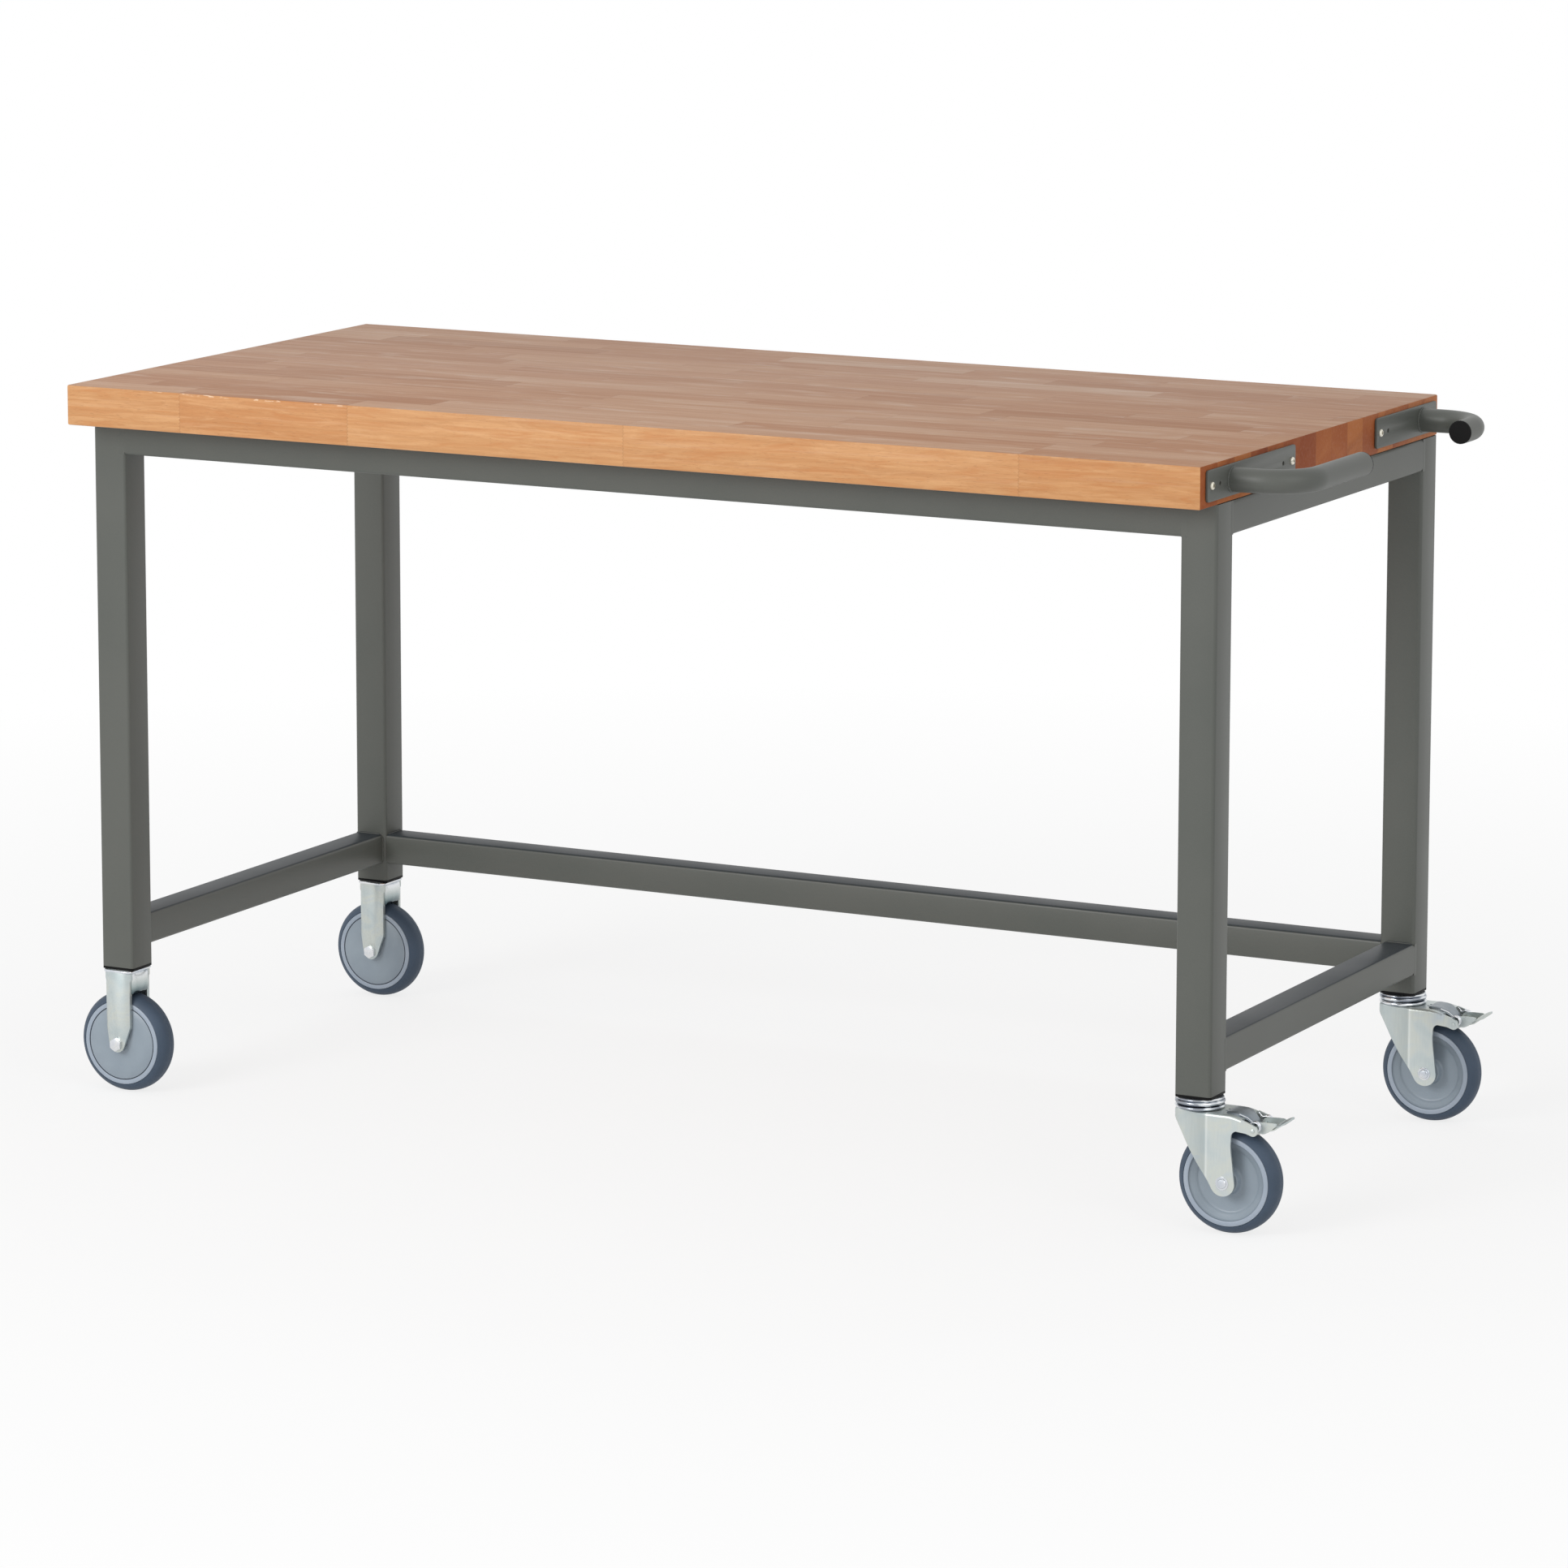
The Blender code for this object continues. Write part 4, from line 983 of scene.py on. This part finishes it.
def build_hood(row, y):
    """The dark spring hood over the fork's back end, its sides folded down."""
    grid = []
    for i, (x, z) in enumerate(HOOD):
        u = i / (len(HOOD) - 1)
        half = eased(HOOD_WIDTH, u)
        line = []
        for v in spread(20):
            fold = max(0.0, abs(v) - 0.84) / 0.16
            line.append((x - 0.0016 * u * fold, y + half * v, z - 0.0026 * fold ** 1.5 * min(1.0, 3 * u)))
        grid.append(line)
    swivel = f"swivel_{row}"
    hood = sheet(grid, -0.0009)
    piece(f"{swivel}_spring_hood", hood, DARK_ZINC, swivel, "dark_zinc", 50, f"{swivel}_brake_leaf")


def build_pedal(row, y):
    """The pale foot pedal: a drooping wing on two cheeks, with its barrel, its shoe and its pin."""
    line = filleted(WING_LINE, 0.0060)
    upper, lower = [], []
    for i in range(45):
        u = 1 - (1 - i / 44) ** 1.7
        x = line[0][0] + (line[-1][0] - line[0][0]) * u
        tip = math.sqrt(max(0.0, 1 - (max(0.0, u - 0.70) / 0.30) ** 2))
        half = eased(WING_WIDTH, u) * max(tip, 0.04)
        droop = eased(WING_DROOP, u) * tip
        level = read_off(line, x)
        upper.append([Vector((x, half * v, level - droop * abs(v) ** 2.6)) for v in spread(24)])
        lower.append([p - Z * WING for p in upper[-1]])
    parts = [skin(upper, lower)]
    outline = filleted(CHEEK_LINE, 0.0028, 5, closed=True)
    for side in CHEEK_SIDES:
        cheek = bmesh.new()
        cheek.faces.new([cheek.verts.new((x, side, z)) for x, z in outline])
        bmesh.ops.translate(cheek, vec=(0, CHEEK, 0), verts=pushed_out(cheek))
        parts.append(cheek)
    shoe = []
    for i in range(9):
        u = i / 8
        along, level = -0.0038 + 0.0080 * u, -0.0034 - 0.0024 * math.sin(math.pi * u)
        shoe.append([(along, 0.0112 * v, level) for v in spread(8)])
    parts.append(moved(turned(BARREL, 28), (0, 0, 0), TO_FRONT))
    parts.append(sheet(shoe, SHOE))
    parts.append(moved(turned(PIN, 24), (0, 0, 0), TO_FRONT))
    whole = moved(merged(*parts), (PIVOT_X, y, PIVOT_Z))
    swivel = f"swivel_{row}"
    piece(f"{swivel}_foot_pedal", whole, ZINC, f"brake_pedal_{row}", "zinc", 46, f"{swivel}_pedal")


def build_springs(row, y):
    """A coil spring on each side of the pedal, and the dimples pressed beside the hood, drawn as small dark
    bumps whose dark is painted shade.
    """
    swivel = f"swivel_{row}"
    for side, end in ((-1, "near"), (1, "far")):
        points = []
        for i in range(COIL_STEPS + 1):
            a = 2 * math.pi * i / COIL_ROUND + 2.2
            across = side * (0.0218 - 0.0070 * i / COIL_STEPS)
            points.append((-0.0004 + COIL * math.cos(a), across, 0.0028 + COIL * math.sin(a)))
        points += [(-0.0062, side * 0.0148, 0.0082), (-0.0105, side * 0.0158, 0.0120)]
        if side < 0:
            points.append((-0.0200, -0.0180, 0.0158))
        wire = moved(tube(points, WIRE, 10), (PIVOT_X, y, PIVOT_Z))
        piece(f"{swivel}_coil_{end}", wire, BRIGHT, swivel, "bright_zinc", 60)
        # Painted shade: each pressed dimple is drawn as a small bump in dark zinc, standing for the shade in
        # its hollow.
        dimple = moved(turned(DIMPLE, 20), (STEM_X + 0.0352, y + side * 0.0040, FORK_TOP))
        piece(f"{swivel}_dimple_{end}", dimple, DARK_ZINC, swivel, "dark_zinc", 60)


# Pressed dome and rolled lip of the fixed castors
LIP_X, LIP_Y, LIP_CORNER, LIP_Z = 0.0195, 0.0250, 0.0078, 0.1538


def build_fixed_top(row, y):
    """The dome pressed in each open side of the bracket, and the rolled lip under its flat top."""
    for side, label in ((-1, "left"), (1, "right")):
        outer, inner = [], []
        for u in spread(24):
            swell = 0.0052 * math.sqrt(max(0.0, 1 - u * u))
            line = []
            for k in range(21):
                out = 0.0178 + swell * math.sin(math.pi * (0.10 + 0.88 * k / 20)) ** 0.7
                line.append(Vector((FIXED_X + side * out, y + 0.0180 * u, 0.1545 - 0.0288 * k / 20)))
            outer.append(line)
            inner.append([p - X * side * 0.0010 for p in line])
        piece(f"fixed_{row}_dome_{label}", skin(outer, inner), DOME, "bench", "zinc", 60)
    outline = []
    for side_x, side_y, start in ((1, 1, 0), (-1, 1, 90), (-1, -1, 180), (1, -1, 270)):
        centre = (FIXED_X + side_x * (LIP_X - LIP_CORNER), y + side_y * (LIP_Y - LIP_CORNER))
        outline += [(*place, LIP_Z) for place in arc(centre, LIP_CORNER, LIP_CORNER, start, start + 90, 10)]
    piece(f"fixed_{row}_rolled_lip", tube(outline, 0.0018, 16, True), BRIGHT, "bench", "zinc", 60)


for row, y in ROWS:
    build_wheel(row, "fixed", FIXED_X, y)
    build_wheel(row, "swivel", AXLE_X, y)
    build_axle(row, "fixed", FIXED_X, y, "bench")
    build_axle(row, "swivel", AXLE_X, y, f"swivel_{row}")
    build_races(row, y)
    build_fork(row, y)
    build_hood(row, y)
    build_pedal(row, y)
    build_springs(row, y)
    build_fixed_top(row, y)


# Handles
GRIP, GRIP_BEND, BEND_STEPS = 0.014, 0.052, 32
WELD, WELD_STEPS = 0.0141, 120
SCREW_SIZE, SCREW_HIGH, SCREW_INSET = 0.0046, 0.0029, 0.011


def screw_head(radius, height):
    """A pan head with a round-ended driving recess."""
    profile = [(0.0, -0.0004), (radius, -0.0004), (radius, height * 0.25)]
    profile += arc((radius * 0.42, height * 0.25), radius * 0.58, height * 0.75, 15, 90, 5)
    return profile + [(radius * 0.38, height * 0.98), (radius * 0.35, height * 0.10), (0.0, height * 0.05)]


def build_handle(row):
    """A bent tube of full roundness, its open end, the thin weld at its root, and the two pan-head screws."""
    low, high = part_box(f"handle_plate_{row}")
    tube_low, tube_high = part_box(f"handle_tube_{row}")
    turn, root, end = 1, tube_low.y + GRIP, tube_high.y
    if row == "back":
        turn, root, end = -1, tube_high.y - GRIP, tube_low.y
    level = (low.z + high.z) / 2
    run = tube_high.x - GRIP
    face = high.x + 0.0003
    corner = (run - GRIP_BEND, root + turn * GRIP_BEND)
    bent = arc(corner, GRIP_BEND, turn * GRIP_BEND, 90 / BEND_STEPS - 90, 0, BEND_STEPS - 1)
    points = [(face, root), (run - GRIP_BEND, root), *bent, (run, end)]
    grip = tube([(*place, level) for place in points], GRIP, 48)
    piece(f"handle_{row}_grip", grip, PAINT, "bench", "paint", 50, f"handle_tube_{row}")
    places, radii = [], []
    for a in circle(WELD_STEPS):
        places.append((face, root + WELD * math.cos(a), level + WELD * math.sin(a)))
        radii.append(0.0010 + 0.0002 * math.sin(31 * a) + 0.0001 * math.sin(5 * a + 1))
    piece(f"handle_{row}_weld", tube(places, radii, 8, True), PAINT, "bench", "paint", 80)
    for label, place_y in (("near", low.y + SCREW_INSET), ("far", high.y - SCREW_INSET)):
        head = moved(turned(screw_head(SCREW_SIZE, SCREW_HIGH), 36), (high.x, place_y, level), TO_RIGHT)
        piece(f"handle_{row}_screw_{label}", head, SCREW, "bench", "bright_zinc", 40)


build_handle("front")
build_handle("back")


# Frame welds, ground flush on the outer faces and left as thin beads on the inner ones
RAILS = (
    "top_rail_front", "top_rail_back", "top_rail_left", "top_rail_right",
    "low_rail_left", "low_rail_right", "low_rail_back",
)
FACES = {"front": FRONT_FACE, "back": BACK_FACE, "left": LEFT_FACE, "right": RIGHT_FACE}
ROUND = 0.004
SEAM_INSET, SEAM_HALF, SEAM_HALF_HIGH = 0.0042, 0.0035, 0.0193
BEAD_STEPS = 72


def flush_seam(name, centre, across, up, size):
    """A hardly raised strip of coated filler over a joint ground flush."""
    out = across.cross(up)
    outer, inner = [], []
    for u in spread(12):
        rises = [(v, 0.00010 * (1 - u * u) * (1 - v ** 6)) for v in spread(24)]
        outer.append([centre + across * (u * size[0]) + up * (v * size[1]) + out * rise for v, rise in rises])
        inner.append([p - out * 0.0004 for p in outer[-1]])
    piece(name, skin(outer, inner), PAINT, "bench", "paint", 80)


def bead(name, start, stop, phase):
    """A thin rippled weld bead along the inside corner between a rail and a leg."""
    points, radii = [], []
    for i in range(BEAD_STEPS + 1):
        fade = min(1.0, i / 4 + 0.3, (BEAD_STEPS - i) / 4 + 0.3)
        points.append(start.lerp(stop, i / BEAD_STEPS))
        radii.append((0.0013 + 0.00022 * math.sin(1.7 * i + phase)) * fade)
    piece(name, tube(points, radii, 8), PAINT, "bench", "paint", 80)


def weld(rail):
    """The beads and flush seams at both ends of a rail."""
    low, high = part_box(rail)
    side = rail.rsplit("_", 1)[1]
    along_x = side in ("front", "back")
    near, far = (low.y, high.y) if along_x else (low.x, high.x)
    inner = far if side in ("front", "left") else near
    first, last = (LEFT_FACE, RIGHT_FACE) if along_x else (FRONT_FACE, BACK_FACE)
    axis = X if along_x else Y

    def spot(along, across, z):
        return Vector((along, across, z) if along_x else (across, along, z))

    for number, (at, inward) in enumerate(((first + LEG, 1), (last - LEG, -1))):
        label = f"{rail}_{'start' if inward > 0 else 'stop'}"
        bead(f"{label}_under", spot(at, near + ROUND, low.z), spot(at, far - ROUND, low.z), number)
        if rail != "low_rail_back":
            start, stop = spot(at, inner, low.z + ROUND), spot(at, inner, high.z - ROUND)
            bead(f"{label}_inside", start, stop, number + 2)
        if rail.startswith("low_rail"):
            bead(f"{label}_over", spot(at, near + ROUND, high.z), spot(at, far - ROUND, high.z), number + 4)
        centre = spot(at - inward * SEAM_INSET, FACES[side], (low.z + high.z) / 2)
        if side in ("front", "right"):
            flush_seam(f"{label}_flush", centre, axis, Z, (SEAM_HALF, SEAM_HALF_HIGH))
        elif rail != "low_rail_back":
            flush_seam(f"{label}_flush", centre, Z, axis, (SEAM_HALF_HIGH, SEAM_HALF))


for rail in RAILS:
    weld(rail)
